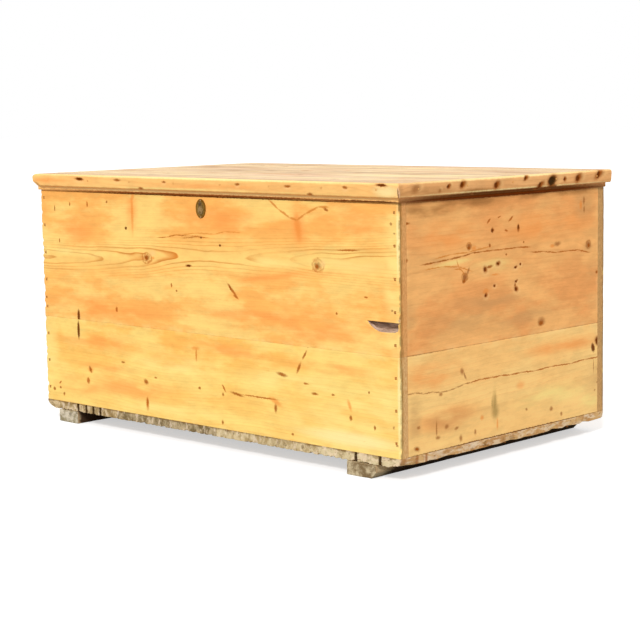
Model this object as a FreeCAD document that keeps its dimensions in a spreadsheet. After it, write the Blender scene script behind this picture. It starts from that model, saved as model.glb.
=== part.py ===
import FreeCAD, Part
import os
import re
from collections import namedtuple
from math import atan2, hypot

import Sketcher
from FreeCAD import Placement, Rotation, Vector

# A pine blanket chest: nailed board carcass on two runners, boarded lid with a mitred
# moulding, two iron butt hinges and a box lock behind an oval brass escutcheon.
# Millimetres. +Z up, front towards -Y, origin on the floor under the middle of the outline.

SIZES = {
    # carcass
    "chest_length": 1100,
    "chest_depth": 676,
    "wall_height": 503,
    "wall_thickness": 22,
    "lower_board_height": 197,
    "bottom_thickness": 20,
    "first_bottom_joint": 253,
    "second_bottom_joint": 582,
    "third_bottom_joint": 879,
    "runner_height": 28,
    "left_runner_width": 68,
    "left_runner_inset": 42,
    "right_runner_width": 77,
    "right_runner_inset": 65,
    "right_runner_chamfer": 13,
    # hand hold cut into the front board beside its right-hand edge
    "notch_length": 83,
    "notch_height": 20,
    "notch_depth": 15,
    "notch_level": 46,
    # lid
    "lid_thickness": 25,
    "lid_seat_gap": 0.3,
    "lid_back_overhang": 10,
    "lid_front_board_width": 243,
    "lid_back_board_width": 221,
    "moulding_height": 37,
    "moulding_projection": 13,
    "moulding_rake": 1.5,
    "top_arris_radius": 4,
    "lower_arris_radius": 3,
    "lip_height": 9,
    "lip_thickness": 3,
    "lip_gap": 0.6,
    "batten_width": 60,
    "batten_thickness": 20,
    "batten_inset": 190,
    "batten_clearance": 12,
    # cut nails
    "nail_head": 6,
    "nail_head_thickness": 1.5,
    "nail_shank": 3,
    "nail_tip": 1.2,
    "nail_length": 50,
    "nail_margin": 30,
    "bottom_nail_margin": 60,
    "bottom_nail_length": 48,
    "runner_nail_length": 38,
    "runner_nail_margin": 50,
    "brad_head": 3.2,
    "brad_head_thickness": 1,
    "brad_shank": 2,
    "brad_tip": 1,
    "brad_length": 38,
    "brad_margin": 45,
    # screws
    "screw_head_radius": 3.6,
    "screw_head_depth": 1.8,
    "screw_shank_radius": 1.9,
    "hinge_screw_length": 20,
    "batten_screw_length": 36,
    "lock_screw_length": 16,
    "screw_play": 0.05,
    # hinges
    "hinge_length": 75,
    "hinge_inset": 170,
    "hinge_line_offset": 2.2,
    "leaf_thickness": 2,
    "leaf_width": 19,
    "leaf_screw_margin": 14,
    "knuckle_radius": 3.8,
    "knuckle_gap": 0.25,
    "knuckle_play": 0.3,
    "hinge_pin_radius": 1.8,
    "pin_play": 0.05,
    "pin_end": 0.8,
    # lock
    "lock_drop": 1,
    "lock_plate_length": 112,
    "lock_plate_height": 70,
    "lock_plate_thickness": 2,
    "lock_screw_inset": 5.5,
    "lock_case_length": 88,
    "lock_case_height": 60,
    "lock_case_depth": 14,
    "lock_case_wall": 2,
    "pillar_radius": 3,
    "pillar_end_radius": 1.5,
    "pillar_inset": 6,
    "pillar_drop": 7,
    "bolt_drop": 12,
    "bolt_height": 8,
    "bolt_thickness": 4,
    "bolt_standoff": 3.5,
    "bolt_head_length": 18,
    "bolt_tail_length": 34,
    "bolt_tail_height": 17,
    "bolt_throw": 9,
    "bolt_play": 0.2,
    "talon_width": 9,
    "talon_depth": 4,
    "talon_offset": 26,
    "stud_radius": 2,
    "stud_head_radius": 3.4,
    "stud_head_thickness": 1.2,
    "stud_drop": 5,
    "slot_offset": 7,
    "guide_offset": 10,
    "guide_thickness": 3,
    "guide_height": 16,
    "spring_span": 24,
    "spring_thickness": 0.8,
    "spring_width": 3,
    "spring_gap": 0.3,
    "ward_radius": 8,
    "ward_thickness": 1.2,
    "ward_height": 3,
    "link_plate_length": 64,
    "link_plate_width": 15,
    "link_plate_thickness": 2,
    "link_screw_offset": 24,
    "staple_offset": 22,
    "staple_thickness": 4,
    "staple_width": 9,
    "staple_length": 24,
    "staple_play": 0.6,
    "staple_rest_gap": 1.5,
    # escutcheon
    "keyhole_drop": 39,
    "keyhole_radius": 3.5,
    "keyhole_slot_width": 3,
    "keyhole_slot_length": 9,
    "keyhole_margin": 1,
    "escutcheon_width": 32,
    "escutcheon_height": 42,
    "escutcheon_thickness": 1.5,
    "escutcheon_pin_offset": 17.5,
    "escutcheon_pin_radius": 1.4,
    "escutcheon_pin_length": 12,
    "cover_pivot_offset": 11,
    "cover_drop": 15,
    "cover_eye_radius": 4.8,
    "cover_lobe_radius": 8.5,
    "cover_thickness": 1.4,
    "cover_gap": 0.2,
    "cover_pivot_radius": 1.5,
    "cover_pivot_head": 2.8,
    "cover_pivot_dome": 1.2,
    "cover_pivot_length": 14,
}

# how many copies the repeated pieces have
EDGE_NAILS = 8
BOTTOM_ROW_NAILS = 9
BOTTOM_END_NAILS = 5
RUNNER_NAILS = 5
FRONT_BRADS = 8
END_BRADS = 5
LEAF_SCREWS = 3
KNUCKLES = 5

doc = FreeCAD.newDocument("BlanketChest")
sheet = doc.addObject("Spreadsheet::Sheet", "Sizes")
for row, (alias, size) in enumerate(SIZES.items(), start=1):
    sheet.set(f"A{row}", alias)
    sheet.set(f"B{row}", str(size))
    sheet.setAlias(f"B{row}", alias)
doc.recompute()

# planes and levels of the chest, as expressions of the sheet
front_face = "((moulding_projection - lid_back_overhang - chest_depth) / 2)"
back_face = f"({front_face} + chest_depth)"
inner_front = f"({front_face} + wall_thickness)"
inner_back = f"({back_face} - wall_thickness)"
right_side = "(chest_length / 2)"
left_side = "(-chest_length / 2)"
carcass_floor = "(runner_height + bottom_thickness)"
board_joint = f"({carcass_floor} + lower_board_height)"
wall_top = f"({carcass_floor} + wall_height)"
lid_under = f"({wall_top} + lid_seat_gap)"
lid_top = f"({lid_under} + lid_thickness)"
lid_back = f"({back_face} + lid_back_overhang)"
lid_half_length = "(chest_length / 2 + lip_gap)"
lid_front = f"({front_face} - lip_gap)"
hinge_height = f"({wall_top} + lid_seat_gap / 2)"
hinge_line = f"({back_face} + hinge_line_offset)"
keyhole_height = f"({wall_top} - keyhole_drop)"
cover_pivot_height = f"({keyhole_height} + cover_pivot_offset)"

# ways a nail or screw can be driven
INTO_FRONT = Rotation(Vector(0, 0, 1), 0)
INTO_BACK = Rotation(Vector(0, 0, 1), 180)
INTO_RIGHT = Rotation(Vector(0, 0, 1), 90)
UPWARD = Rotation(Vector(1, 0, 0), 90)
DOWNWARD = Rotation(Vector(1, 0, 0), -90)

Arc = namedtuple("Arc", "x y radius centre_x centre_y clockwise")

nodes = []


def sized(expression):
    """Put the sheet's name in front of every alias."""
    return re.sub(
        r"[a-z][a-z_]+",
        lambda word: "Sizes." + word.group() if word.group() in SIZES else word.group(),
        str(expression),
    )


def value(expression):
    return float(str(sheet.evalExpression(sized(expression))).split()[0])


def bind(item, **expressions):
    for name, expression in expressions.items():
        item.setExpression(name, sized(expression))
    return item


def place(item, at, turn=None):
    """Turn the item, then tie its position to the sheet."""
    if turn is not None:
        item.Placement = Placement(Vector(), turn)
    for letter, expression in zip("xyz", at):
        item.setExpression(f"Placement.Base.{letter}", sized(expression))
    return item


def node(item, label):
    """Name a finished piece; its label is also its file's name."""
    item.Label = label
    nodes.append(item)
    return item


def new_body(name):
    return doc.addObject("PartDesign::Body", name)


def origin_feature(body, role):
    return next(item for item in body.Origin.OriginFeatures if item.Role == role)


def feature(body, kind, name, at, turn=None, **expressions):
    item = body.newObject("PartDesign::" + kind, name)
    place(item, at, turn)
    return bind(item, **expressions)


def repeat(body, axis, length, count):
    """Copy the whole body so far along one of its axes."""
    so_far = body.Tip
    pattern = body.newObject("PartDesign::LinearPattern", body.Name + "_row")
    pattern.BaseFeature = so_far
    pattern.TransformMode = "Whole shape"
    pattern.Direction = (origin_feature(body, axis + "_Axis"), [""])
    pattern.Occurrences = count
    bind(pattern, Length=length)
    body.Tip = pattern
    return pattern


def repeat_feature(body, item, axis, length, count):
    """Copy one feature along one of the body's axes."""
    pattern = body.newObject("PartDesign::LinearPattern", item.Name + "_row")
    pattern.Originals = [item]
    pattern.Direction = (origin_feature(body, axis + "_Axis"), [""])
    pattern.Occurrences = count
    bind(pattern, Length=length)
    body.Tip = pattern
    return pattern


def mirror(body, plane):
    """Mirror the whole body so far in one of its planes."""
    so_far = body.Tip
    copy = body.newObject("PartDesign::Mirrored", body.Name + "_mirrored")
    copy.BaseFeature = so_far
    copy.TransformMode = "Whole shape"
    copy.MirrorPlane = (origin_feature(body, plane + "_Plane"), [""])
    body.Tip = copy
    return copy


def new_sketch(body, name, plane, offset):
    sketch = body.newObject("Sketcher::SketchObject", name)
    sketch.AttachmentSupport = [(origin_feature(body, plane + "_Plane"), "")]
    sketch.MapMode = "FlatFace"
    sketch.setExpression("AttachmentOffset.Base.z", sized(offset))
    return sketch


def tie(sketch, kind, geometry, expression, vertex=None):
    """Add a dimension to the sketch and bind it to the sheet."""
    size = value(expression)
    if vertex is None:
        index = sketch.addConstraint(Sketcher.Constraint(kind, geometry, size))
    else:
        index = sketch.addConstraint(Sketcher.Constraint(kind, -1, 1, geometry, vertex, size))
    sketch.setExpression(f"Constraints[{index}]", sized(expression))


def draw_outline(sketch, steps):
    """Draw a closed outline. A step is a corner (x, y), or an Arc that ends at its x, y."""
    corners = [(value(step[0]), value(step[1])) for step in steps]
    ends = []
    for number, step in enumerate(steps):
        start = Vector(*corners[number - 1], 0)
        end = Vector(*corners[number], 0)
        if isinstance(step, Arc):
            centre = Vector(value(step.centre_x), value(step.centre_y), 0)
            first, last = (end, start) if step.clockwise else (start, end)
            circle = Part.Circle(centre, Vector(0, 0, 1), value(step.radius))
            edge = Part.ArcOfCircle(
                circle,
                atan2(first.y - centre.y, first.x - centre.x),
                atan2(last.y - centre.y, last.x - centre.x),
            )
            ends.append((2, 1) if step.clockwise else (1, 2))
        else:
            edge = Part.LineSegment(start, end)
            ends.append((1, 2))
        sketch.addGeometry(edge, False)
    for number, step in enumerate(steps):
        follower = (number + 1) % len(steps)
        sketch.addConstraint(
            Sketcher.Constraint("Coincident", number, ends[number][1], follower, ends[follower][0])
        )
        if isinstance(step, Arc):
            tie(sketch, "Radius", number, step.radius)
    for number, step in enumerate(steps):
        tie(sketch, "DistanceX", number, step[0], ends[number][1])
        tie(sketch, "DistanceY", number, step[1], ends[number][1])


def pad(body, name, plane, offset, steps, length):
    """Extrude an outline along the plane's normal: +Z of XY, -Y of XZ, +X of YZ."""
    sketch = new_sketch(body, name + "_outline", plane, offset)
    draw_outline(sketch, steps)
    solid = body.newObject("PartDesign::Pad", name)
    solid.Profile = sketch
    return bind(solid, Length=length)


def pocket(body, name, plane, offset, steps, length):
    """Cut an outline, against the plane's normal, to the given depth."""
    sketch = new_sketch(body, name + "_outline", plane, offset)
    draw_outline(sketch, steps)
    cut = body.newObject("PartDesign::Pocket", name)
    cut.Profile = sketch
    return bind(cut, Length=length)


def rectangle(left, bottom, right, top):
    return [(left, bottom), (right, bottom), (right, top), (left, top)]


def plank(name, at, extent):
    """A plain board, from its lowest corner and its size along X, Y and Z."""
    box = doc.addObject("Part::Box", name)
    bind(box, Length=extent[0], Width=extent[1], Height=extent[2])
    return place(box, at)


def carved(name, blank, cutters):
    """The blank with the cutters taken out of it."""
    if len(cutters) > 1:
        tool = doc.addObject("Part::Compound", name + "_cutters")
        tool.Links = cutters
    else:
        tool = cutters[0]
    cut = doc.addObject("Part::Cut", name)
    cut.Base = blank
    cut.Tool = tool
    return cut


def nail(name, at, turn, size, length):
    """A cut nail: square head flush with the wood, shank tapering to a blunt tip."""
    body = new_body(name)
    feature(body, "AdditiveWedge", name + "_head", at, turn,
            Xmin=f"-{size}_head / 2", Xmax=f"{size}_head / 2",
            Zmin=f"-{size}_head / 2", Zmax=f"{size}_head / 2",
            X2min=f"-{size}_head / 2", X2max=f"{size}_head / 2",
            Z2min=f"-{size}_head / 2", Z2max=f"{size}_head / 2",
            Ymin="0", Ymax=f"{size}_head_thickness")
    feature(body, "AdditiveWedge", name + "_shank", at, turn,
            Xmin=f"-{size}_shank / 2", Xmax=f"{size}_shank / 2",
            Zmin=f"-{size}_shank / 2", Zmax=f"{size}_shank / 2",
            X2min=f"-{size}_tip / 2", X2max=f"{size}_tip / 2",
            Z2min=f"-{size}_tip / 2", Z2max=f"{size}_tip / 2",
            Ymin=f"{size}_head_thickness", Ymax=length)
    return body


def screw(name, at, turn, length, play="0"):
    """A countersunk screw, or with play the hole it goes in."""
    body = new_body(name)
    along = turn * Rotation(Vector(1, 0, 0), -90)
    feature(body, "AdditiveCone", name + "_head", at, along,
            Radius1=f"screw_head_radius + {play}", Radius2=f"screw_shank_radius + {play}",
            Height="screw_head_depth")
    feature(body, "AdditiveCylinder", name + "_shank", at, along,
            Radius=f"screw_shank_radius + {play}", Height=f"{length} + {play}")
    return body


# --- carcass -------------------------------------------------------------------------

def make_nails():
    """The groups of nails; each also cuts the holes it sits in."""
    groups = {}
    nail_run = "wall_height - 2 * nail_margin"
    for side, face, turn in (("front", front_face, INTO_FRONT), ("back", back_face, INTO_BACK)):
        at = (f"{right_side} - wall_thickness / 2", face, f"{carcass_floor} + nail_margin")
        groups[side] = nail(f"{side}_nails", at, turn, "nail", "nail_length")
        repeat(groups[side], "Z", nail_run, EDGE_NAILS)
        mirror(groups[side], "YZ")

    for side, face, sign in (("front", front_face, "+"), ("back", back_face, "-")):
        at = (f"{left_side} + bottom_nail_margin", f"{face} {sign} wall_thickness / 2", "runner_height")
        groups["bottom_" + side] = nail(f"bottom_{side}_nails", at, UPWARD, "nail", "bottom_nail_length")
        repeat(groups["bottom_" + side], "X", "chest_length - 2 * bottom_nail_margin", BOTTOM_ROW_NAILS)

    at = (f"{right_side} - wall_thickness / 2", f"{front_face} + 2 * bottom_nail_margin", "runner_height")
    groups["bottom_end"] = nail("bottom_end_nails", at, UPWARD, "nail", "bottom_nail_length")
    repeat(groups["bottom_end"], "Y", "chest_depth - 4 * bottom_nail_margin", BOTTOM_END_NAILS)
    mirror(groups["bottom_end"], "YZ")

    runner_run = "chest_depth - 2 * runner_nail_margin"
    places = {
        "left_runner": f"{left_side} + left_runner_inset + left_runner_width / 2",
        "right_runner": f"{right_side} - right_runner_inset - right_runner_width / 2",
    }
    for runner, middle in places.items():
        at = (middle, f"{front_face} + runner_nail_margin", "0")
        groups[runner] = nail(runner + "_nails", at, UPWARD, "nail", "runner_nail_length")
        repeat(groups[runner], "Y", runner_run, RUNNER_NAILS)
    for group in groups.values():
        node(group, group.Name)
    return groups


def make_keyhole(name, back, margin="0"):
    """A keyhole-shaped cutter from outside the front face to the given plane."""
    start = f"({front_face} - escutcheon_thickness)"
    barrel = doc.addObject("Part::Cylinder", name + "_barrel")
    bind(barrel, Radius=f"keyhole_radius + {margin}", Height=f"{back} - {start}")
    place(barrel, ("0", start, keyhole_height), Rotation(Vector(1, 0, 0), -90))
    slot = plank(name + "_slot",
                 (f"-keyhole_slot_width / 2 - {margin}", start,
                  f"{keyhole_height} - keyhole_slot_length - {margin}"),
                 (f"keyhole_slot_width + 2 * {margin}", f"{back} - {start}",
                  f"keyhole_slot_length + {margin}"))
    cutter = doc.addObject("Part::Fuse", name)
    cutter.Base = barrel
    cutter.Tool = slot
    return cutter


def make_front(nails, lock_holes, lock_holds):
    """Two boards over the ends, the upper with the keyhole and the hand hold."""
    upper = new_body("front_upper_blank")
    pad(upper, "front_upper_face", "XZ", f"-{inner_front}",
        rectangle(left_side, board_joint, right_side, wall_top), "wall_thickness")
    notch_top = f"({board_joint} + notch_level + notch_height)"
    notch_start = f"({right_side} - notch_length)"
    notch_radius = "((notch_length ^ 2 / 4 + notch_height ^ 2) / (2 * notch_height))"
    pocket(upper, "hand_hold", "XZ", f"-{front_face}",
           [(right_side, notch_top),
            (notch_start, notch_top),
            Arc(right_side, notch_top, notch_radius, f"{right_side} - notch_length / 2",
                f"{notch_top} - notch_height + {notch_radius}", False)][1:],
           "notch_depth")
    node(carved("front_upper_board", upper, [nails["front"], lock_holes] + lock_holds),
         "front_upper_board")

    lower = plank("front_lower_blank", (left_side, front_face, carcass_floor),
                  ("chest_length", "wall_thickness", "lower_board_height"))
    cutters = [nails["front"], nails["bottom_front"]]
    node(carved("front_lower_board", lower, cutters), "front_lower_board")


def make_ends(nails):
    """Two boards at each end, between the front and the back."""
    upper_height = "wall_height - lower_board_height"
    depth = "chest_depth - 2 * wall_thickness"
    for side, edge in (("left", left_side), ("right", f"{right_side} - wall_thickness")):
        upper = plank(f"{side}_end_upper_blank", (edge, inner_front, board_joint),
                      ("wall_thickness", depth, upper_height))
        node(carved(f"{side}_end_upper_board", upper, [nails["front"], nails["back"]]),
             f"{side}_end_upper_board")
        lower = plank(f"{side}_end_lower_blank", (edge, inner_front, carcass_floor),
                      ("wall_thickness", depth, "lower_board_height"))
        cutters = [nails["front"], nails["back"], nails["bottom_end"]]
        node(carved(f"{side}_end_lower_board", lower, cutters), f"{side}_end_lower_board")


def make_back(nails, hinge_cutters):
    """Two boards over the ends; the upper one is let in for the hinges."""
    upper = plank("back_upper_blank", (left_side, inner_back, board_joint),
                  ("chest_length", "wall_thickness", "wall_height - lower_board_height"))
    node(carved("back_upper_board", upper, [nails["back"]] + hinge_cutters), "back_upper_board")
    lower = plank("back_lower_blank", (left_side, inner_back, carcass_floor),
                  ("chest_length", "wall_thickness", "lower_board_height"))
    node(carved("back_lower_board", lower, [nails["back"], nails["bottom_back"]]), "back_lower_board")


def make_bottom(nails):
    """Boards laid front to back under the walls."""
    joints = ["0", "first_bottom_joint", "second_bottom_joint", "third_bottom_joint", "chest_length"]
    cutters = [nails[key] for key in ("bottom_front", "bottom_back", "bottom_end",
                                      "left_runner", "right_runner")]
    for number, (start, end) in enumerate(zip(joints, joints[1:]), start=1):
        name = f"bottom_board_{number}"
        blank = plank(name + "_blank", (f"{left_side} + {start}", front_face, "runner_height"),
                      (f"{end} - {start}", "chest_depth", "bottom_thickness"))
        node(carved(name, blank, cutters), name)


def make_runners(nails):
    """Two battens under the bottom; the right one has its outer edge chamfered."""
    left = plank("left_runner_blank", (f"{left_side} + left_runner_inset", front_face, "0"),
                 ("left_runner_width", "chest_depth", "runner_height"))
    node(carved("left_runner", left, [nails["left_runner"]]), "left_runner")

    outer = f"({right_side} - right_runner_inset)"
    inner = f"({outer} - right_runner_width)"
    right = new_body("right_runner_blank")
    pad(right, "right_runner_section", "XZ", f"-{back_face}",
        [(inner, "0"), (f"{outer} - right_runner_chamfer", "0"),
         (outer, "right_runner_chamfer"), (outer, "runner_height"), (inner, "runner_height")],
        "chest_depth")
    node(carved("right_runner", right, [nails["right_runner"]]), "right_runner")


# --- hinges --------------------------------------------------------------------------

def hinge_middle(side):
    sign = "-" if side == "left" else ""
    return f"({sign}(chest_length / 2 - hinge_inset))"


def make_leaf(side, level, first_gap, gaps, name):
    """A flat leaf with its share of the knuckles on the hinge line."""
    start = f"({hinge_middle(side)} - hinge_length / 2)"
    knuckle = f"(hinge_length / {KNUCKLES})"
    along = Rotation(Vector(0, 1, 0), 90)
    body = new_body(name)
    feature(body, "AdditiveBox", name + "_plate",
            (start, f"{back_face} - leaf_width", level),
            Length="hinge_length", Width=f"leaf_width + {hinge_line} - {back_face}",
            Height="leaf_thickness")
    feature(body, "AdditiveCylinder", name + "_barrel", (start, hinge_line, hinge_height), along,
            Radius="knuckle_radius", Height="hinge_length")
    feature(body, "SubtractiveCylinder", name + "_bore",
            (f"{start} - pin_end", hinge_line, hinge_height), along,
            Radius="hinge_pin_radius + pin_play", Height="hinge_length + 2 * pin_end")
    gap = feature(body, "SubtractiveBox", name + "_gap",
                  (f"{start} + {first_gap} * {knuckle} - knuckle_gap",
                   f"{hinge_line} - knuckle_radius - knuckle_play",
                   f"{hinge_height} - knuckle_radius - knuckle_play"),
                  Length=f"{knuckle} + 2 * knuckle_gap",
                  Width="2 * knuckle_radius + 2 * knuckle_play",
                  Height="2 * knuckle_radius + 2 * knuckle_play")
    repeat_feature(body, gap, "X", f"2 * {knuckle} * {gaps - 1}", gaps)
    return body


def leaf_screws(name, level, turn, play="0"):
    """The screws of both hinges through one leaf each, or their holes."""
    at = (f"{hinge_middle('right')} - hinge_length / 2 + leaf_screw_margin",
          f"{inner_back} + (wall_thickness - leaf_width) + leaf_width / 2", level)
    body = screw(name, at, turn, "hinge_screw_length", play)
    repeat(body, "X", "hinge_length - 2 * leaf_screw_margin", LEAF_SCREWS)
    mirror(body, "YZ")
    return body


def make_hinges():
    """Leaves, pins and screws; returns what they cut from the back and from the lid."""
    back_level = f"({wall_top} - leaf_thickness)"
    lid_level = lid_under
    lid_leaf_top = f"({lid_under} + leaf_thickness)"
    back_cutters = [leaf_screws("back_hinge_holes", wall_top, DOWNWARD, "screw_play")]
    lid_cutters = [leaf_screws("lid_hinge_holes", lid_under, UPWARD, "screw_play")]
    for side in ("left", "right"):
        start = f"({hinge_middle(side)} - hinge_length / 2)"
        blank = make_leaf(side, back_level, 1, KNUCKLES // 2, f"{side}_hinge_back_blank")
        node(carved(f"{side}_hinge_back_leaf", blank, back_cutters[:1]), f"{side}_hinge_back_leaf")
        blank = make_leaf(side, lid_level, 0, KNUCKLES // 2 + 1, f"{side}_hinge_lid_blank")
        node(carved(f"{side}_hinge_lid_leaf", blank, lid_cutters[:1]), f"{side}_hinge_lid_leaf")

        pin = doc.addObject("Part::Cylinder", f"{side}_hinge_pin")
        bind(pin, Radius="hinge_pin_radius", Height="hinge_length + 2 * pin_end")
        place(pin, (f"{start} - pin_end", hinge_line, hinge_height), Rotation(Vector(0, 1, 0), 90))
        node(pin, f"{side}_hinge_pin")

        back_cutters.append(plank(f"{side}_back_mortise",
                                  (start, f"{back_face} - leaf_width", back_level),
                                  ("hinge_length", "leaf_width", "leaf_thickness")))
        back_cutters.append(plank(f"{side}_back_groove",
                                  (f"{start} - pin_end - knuckle_play",
                                   f"{hinge_line} - knuckle_radius - knuckle_play",
                                   f"{hinge_height} - knuckle_radius - knuckle_play"),
                                  ("hinge_length + 2 * pin_end + 2 * knuckle_play",
                                   f"knuckle_radius + knuckle_play + {back_face} - {hinge_line}",
                                   f"knuckle_radius + knuckle_play + {wall_top} - {hinge_height}")))
        lid_cutters.append(plank(f"{side}_lid_mortise",
                                 (start, f"{back_face} - leaf_width", lid_level),
                                 ("hinge_length", f"leaf_width + {hinge_line} - {back_face}",
                                  f"{lid_leaf_top} - {lid_level}")))
        lid_cutters.append(plank(f"{side}_knuckle_groove",
                                 (f"{start} - pin_end - knuckle_play",
                                  f"{hinge_line} - knuckle_radius - knuckle_play", lid_under),
                                 ("hinge_length + 2 * pin_end + 2 * knuckle_play",
                                  "2 * knuckle_radius + 2 * knuckle_play",
                                  "knuckle_radius + knuckle_play")))
    node(leaf_screws("back_hinge_screws", wall_top, DOWNWARD), "back_hinge_screws")
    node(leaf_screws("lid_hinge_screws", lid_under, UPWARD), "lid_hinge_screws")
    return back_cutters, lid_cutters


# --- lock ----------------------------------------------------------------------------

lock_top = f"({wall_top} - lock_drop)"
plate_face = f"({inner_front} + lock_plate_thickness)"
case_back = f"({plate_face} + lock_case_depth)"
bolt_top = f"({wall_top} - bolt_drop)"
bolt_front = f"({plate_face} + bolt_standoff)"
bolt_end = "(staple_offset - staple_thickness / 2 - staple_rest_gap)"
bolt_shoulder = f"({bolt_end} - bolt_head_length)"
bolt_tail = f"({bolt_shoulder} - bolt_tail_length)"
slot_half = "(stud_radius + bolt_play)"
stud_place = f"({bolt_tail} + slot_offset + bolt_throw + {slot_half})"


def lock_screws(name, play="0"):
    """Four screws through the corners of the lock plate into the front board."""
    at = ("lock_plate_length / 2 - lock_screw_inset", plate_face,
          f"{lock_top} - lock_plate_height + lock_screw_inset")
    body = screw(name, at, INTO_BACK, "lock_screw_length", play)
    repeat(body, "Z", "lock_plate_height - 2 * lock_screw_inset", 2)
    mirror(body, "YZ")
    return body


def lock_pillars(name, play="0"):
    """Four pillars that hold the case off the plate, their ends riveted over."""
    inner_face = f"({case_back} - lock_case_wall)"
    along = Rotation(Vector(1, 0, 0), -90)
    left = "(-lock_case_length / 2 + lock_case_wall + pillar_inset)"
    low = f"({lock_top} - lock_case_height + lock_case_wall + pillar_inset)"
    body = new_body(name)
    feature(body, "AdditiveCylinder", name + "_end", (left, inner_front, low), along,
            Radius=f"pillar_end_radius + {play}", Height=f"{case_back} - {inner_front}")
    feature(body, "AdditiveCylinder", name + "_shoulder", (left, plate_face, low), along,
            Radius="pillar_radius", Height=f"{inner_face} - {plate_face}")
    repeat(body, "Z", "lock_case_height - 2 * lock_case_wall - pillar_inset - pillar_drop", 2)
    mirror(body, "YZ")
    return body


def make_lock():
    """The box lock on the inside of the front board."""
    screw_holes = lock_screws("lock_screw_holes", "screw_play")
    pillar_holes = lock_pillars("pillar_holes", "pin_play")
    wood_keyhole = make_keyhole("wood_keyhole", inner_front, "keyhole_margin")
    plate_keyhole = make_keyhole("plate_keyhole", plate_face)

    plate = plank("lock_plate_blank",
                  ("-lock_plate_length / 2", inner_front, f"{lock_top} - lock_plate_height"),
                  ("lock_plate_length", "lock_plate_thickness", "lock_plate_height"))
    node(carved("lock_plate", plate, [screw_holes, pillar_holes, plate_keyhole]), "lock_plate")

    case = new_body("lock_case_blank")
    half = "lock_case_length / 2"
    inner_half = "lock_case_length / 2 - lock_case_wall"
    low = f"({lock_top} - lock_case_height)"
    pad(case, "lock_case_box", "XZ", f"-{case_back}",
        rectangle(f"-{half}", low, half, lock_top), "lock_case_depth")
    pocket(case, "lock_case_hollow", "XZ", f"-{plate_face}",
           rectangle(f"-({inner_half})", f"{low} + lock_case_wall", inner_half,
                     f"{lock_top} - lock_case_wall"),
           "lock_case_depth - lock_case_wall")
    staple_middle = f"({bolt_front} + bolt_thickness / 2)"
    pocket(case, "staple_slot", "XY", lock_top,
           rectangle("staple_offset - staple_thickness / 2 - staple_play",
                     f"{staple_middle} - staple_width / 2 - staple_play",
                     "staple_offset + staple_thickness / 2 + staple_play",
                     f"{staple_middle} + staple_width / 2 + staple_play"),
           "lock_case_wall")
    node(carved("lock_case", case, [pillar_holes]), "lock_case")

    node(lock_screws("lock_screws"), "lock_screws")
    node(lock_pillars("lock_pillars"), "lock_pillars")
    make_bolt()
    make_lock_furniture()
    return [screw_holes, wood_keyhole]


def make_bolt():
    """The sliding bolt: a head that enters the staple and a tail the key drives."""
    body = new_body("lock_bolt")
    low = f"({bolt_top} - bolt_tail_height)"
    talon = f"({bolt_tail} + talon_offset)"
    pad(body, "bolt_outline", "XZ", f"-({bolt_front} + bolt_thickness)",
        [(bolt_tail, low),
         (f"{talon} - talon_width / 2", low),
         (f"{talon} - talon_width / 4", f"{low} + talon_depth"),
         (f"{talon} + talon_width / 4", f"{low} + talon_depth"),
         (f"{talon} + talon_width / 2", low),
         (bolt_shoulder, low),
         (bolt_shoulder, f"{bolt_top} - bolt_height"),
         (bolt_end, f"{bolt_top} - bolt_height"),
         (bolt_end, bolt_top),
         (bolt_tail, bolt_top)],
        "bolt_thickness")
    pocket(body, "stud_slot", "XZ", f"-{bolt_front}",
           rectangle(f"{bolt_tail} + slot_offset", f"{bolt_top} - stud_drop - {slot_half}",
                     f"{bolt_tail} + slot_offset + bolt_throw + 2 * {slot_half}",
                     f"{bolt_top} - stud_drop + {slot_half}"),
           "bolt_thickness")
    node(body, "lock_bolt")

    spring = new_body("bolt_spring")
    rise = "(bolt_drop - lock_drop - lock_case_wall - spring_gap)"
    radius = f"((spring_span ^ 2 / 4 + {rise} ^ 2) / (2 * {rise}))"
    inner_radius = f"({radius} - spring_thickness)"
    foot = f"sqrt({inner_radius} ^ 2 - ({radius} - {rise}) ^ 2)"
    middle = f"({bolt_tail} + spring_span / 2 + spring_thickness)"
    centre = f"({bolt_top} + {rise} - {radius})"
    pad(spring, "spring_bow", "XZ", f"-({bolt_front} + bolt_thickness / 2 + spring_width / 2)",
        [(f"{middle} + spring_span / 2", bolt_top),
         Arc(f"{middle} - spring_span / 2", bolt_top, radius, middle, centre, False),
         (f"{middle} - {foot}", bolt_top),
         Arc(f"{middle} + {foot}", bolt_top, inner_radius, middle, centre, True)],
        "spring_width")
    node(spring, "bolt_spring")


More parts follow.
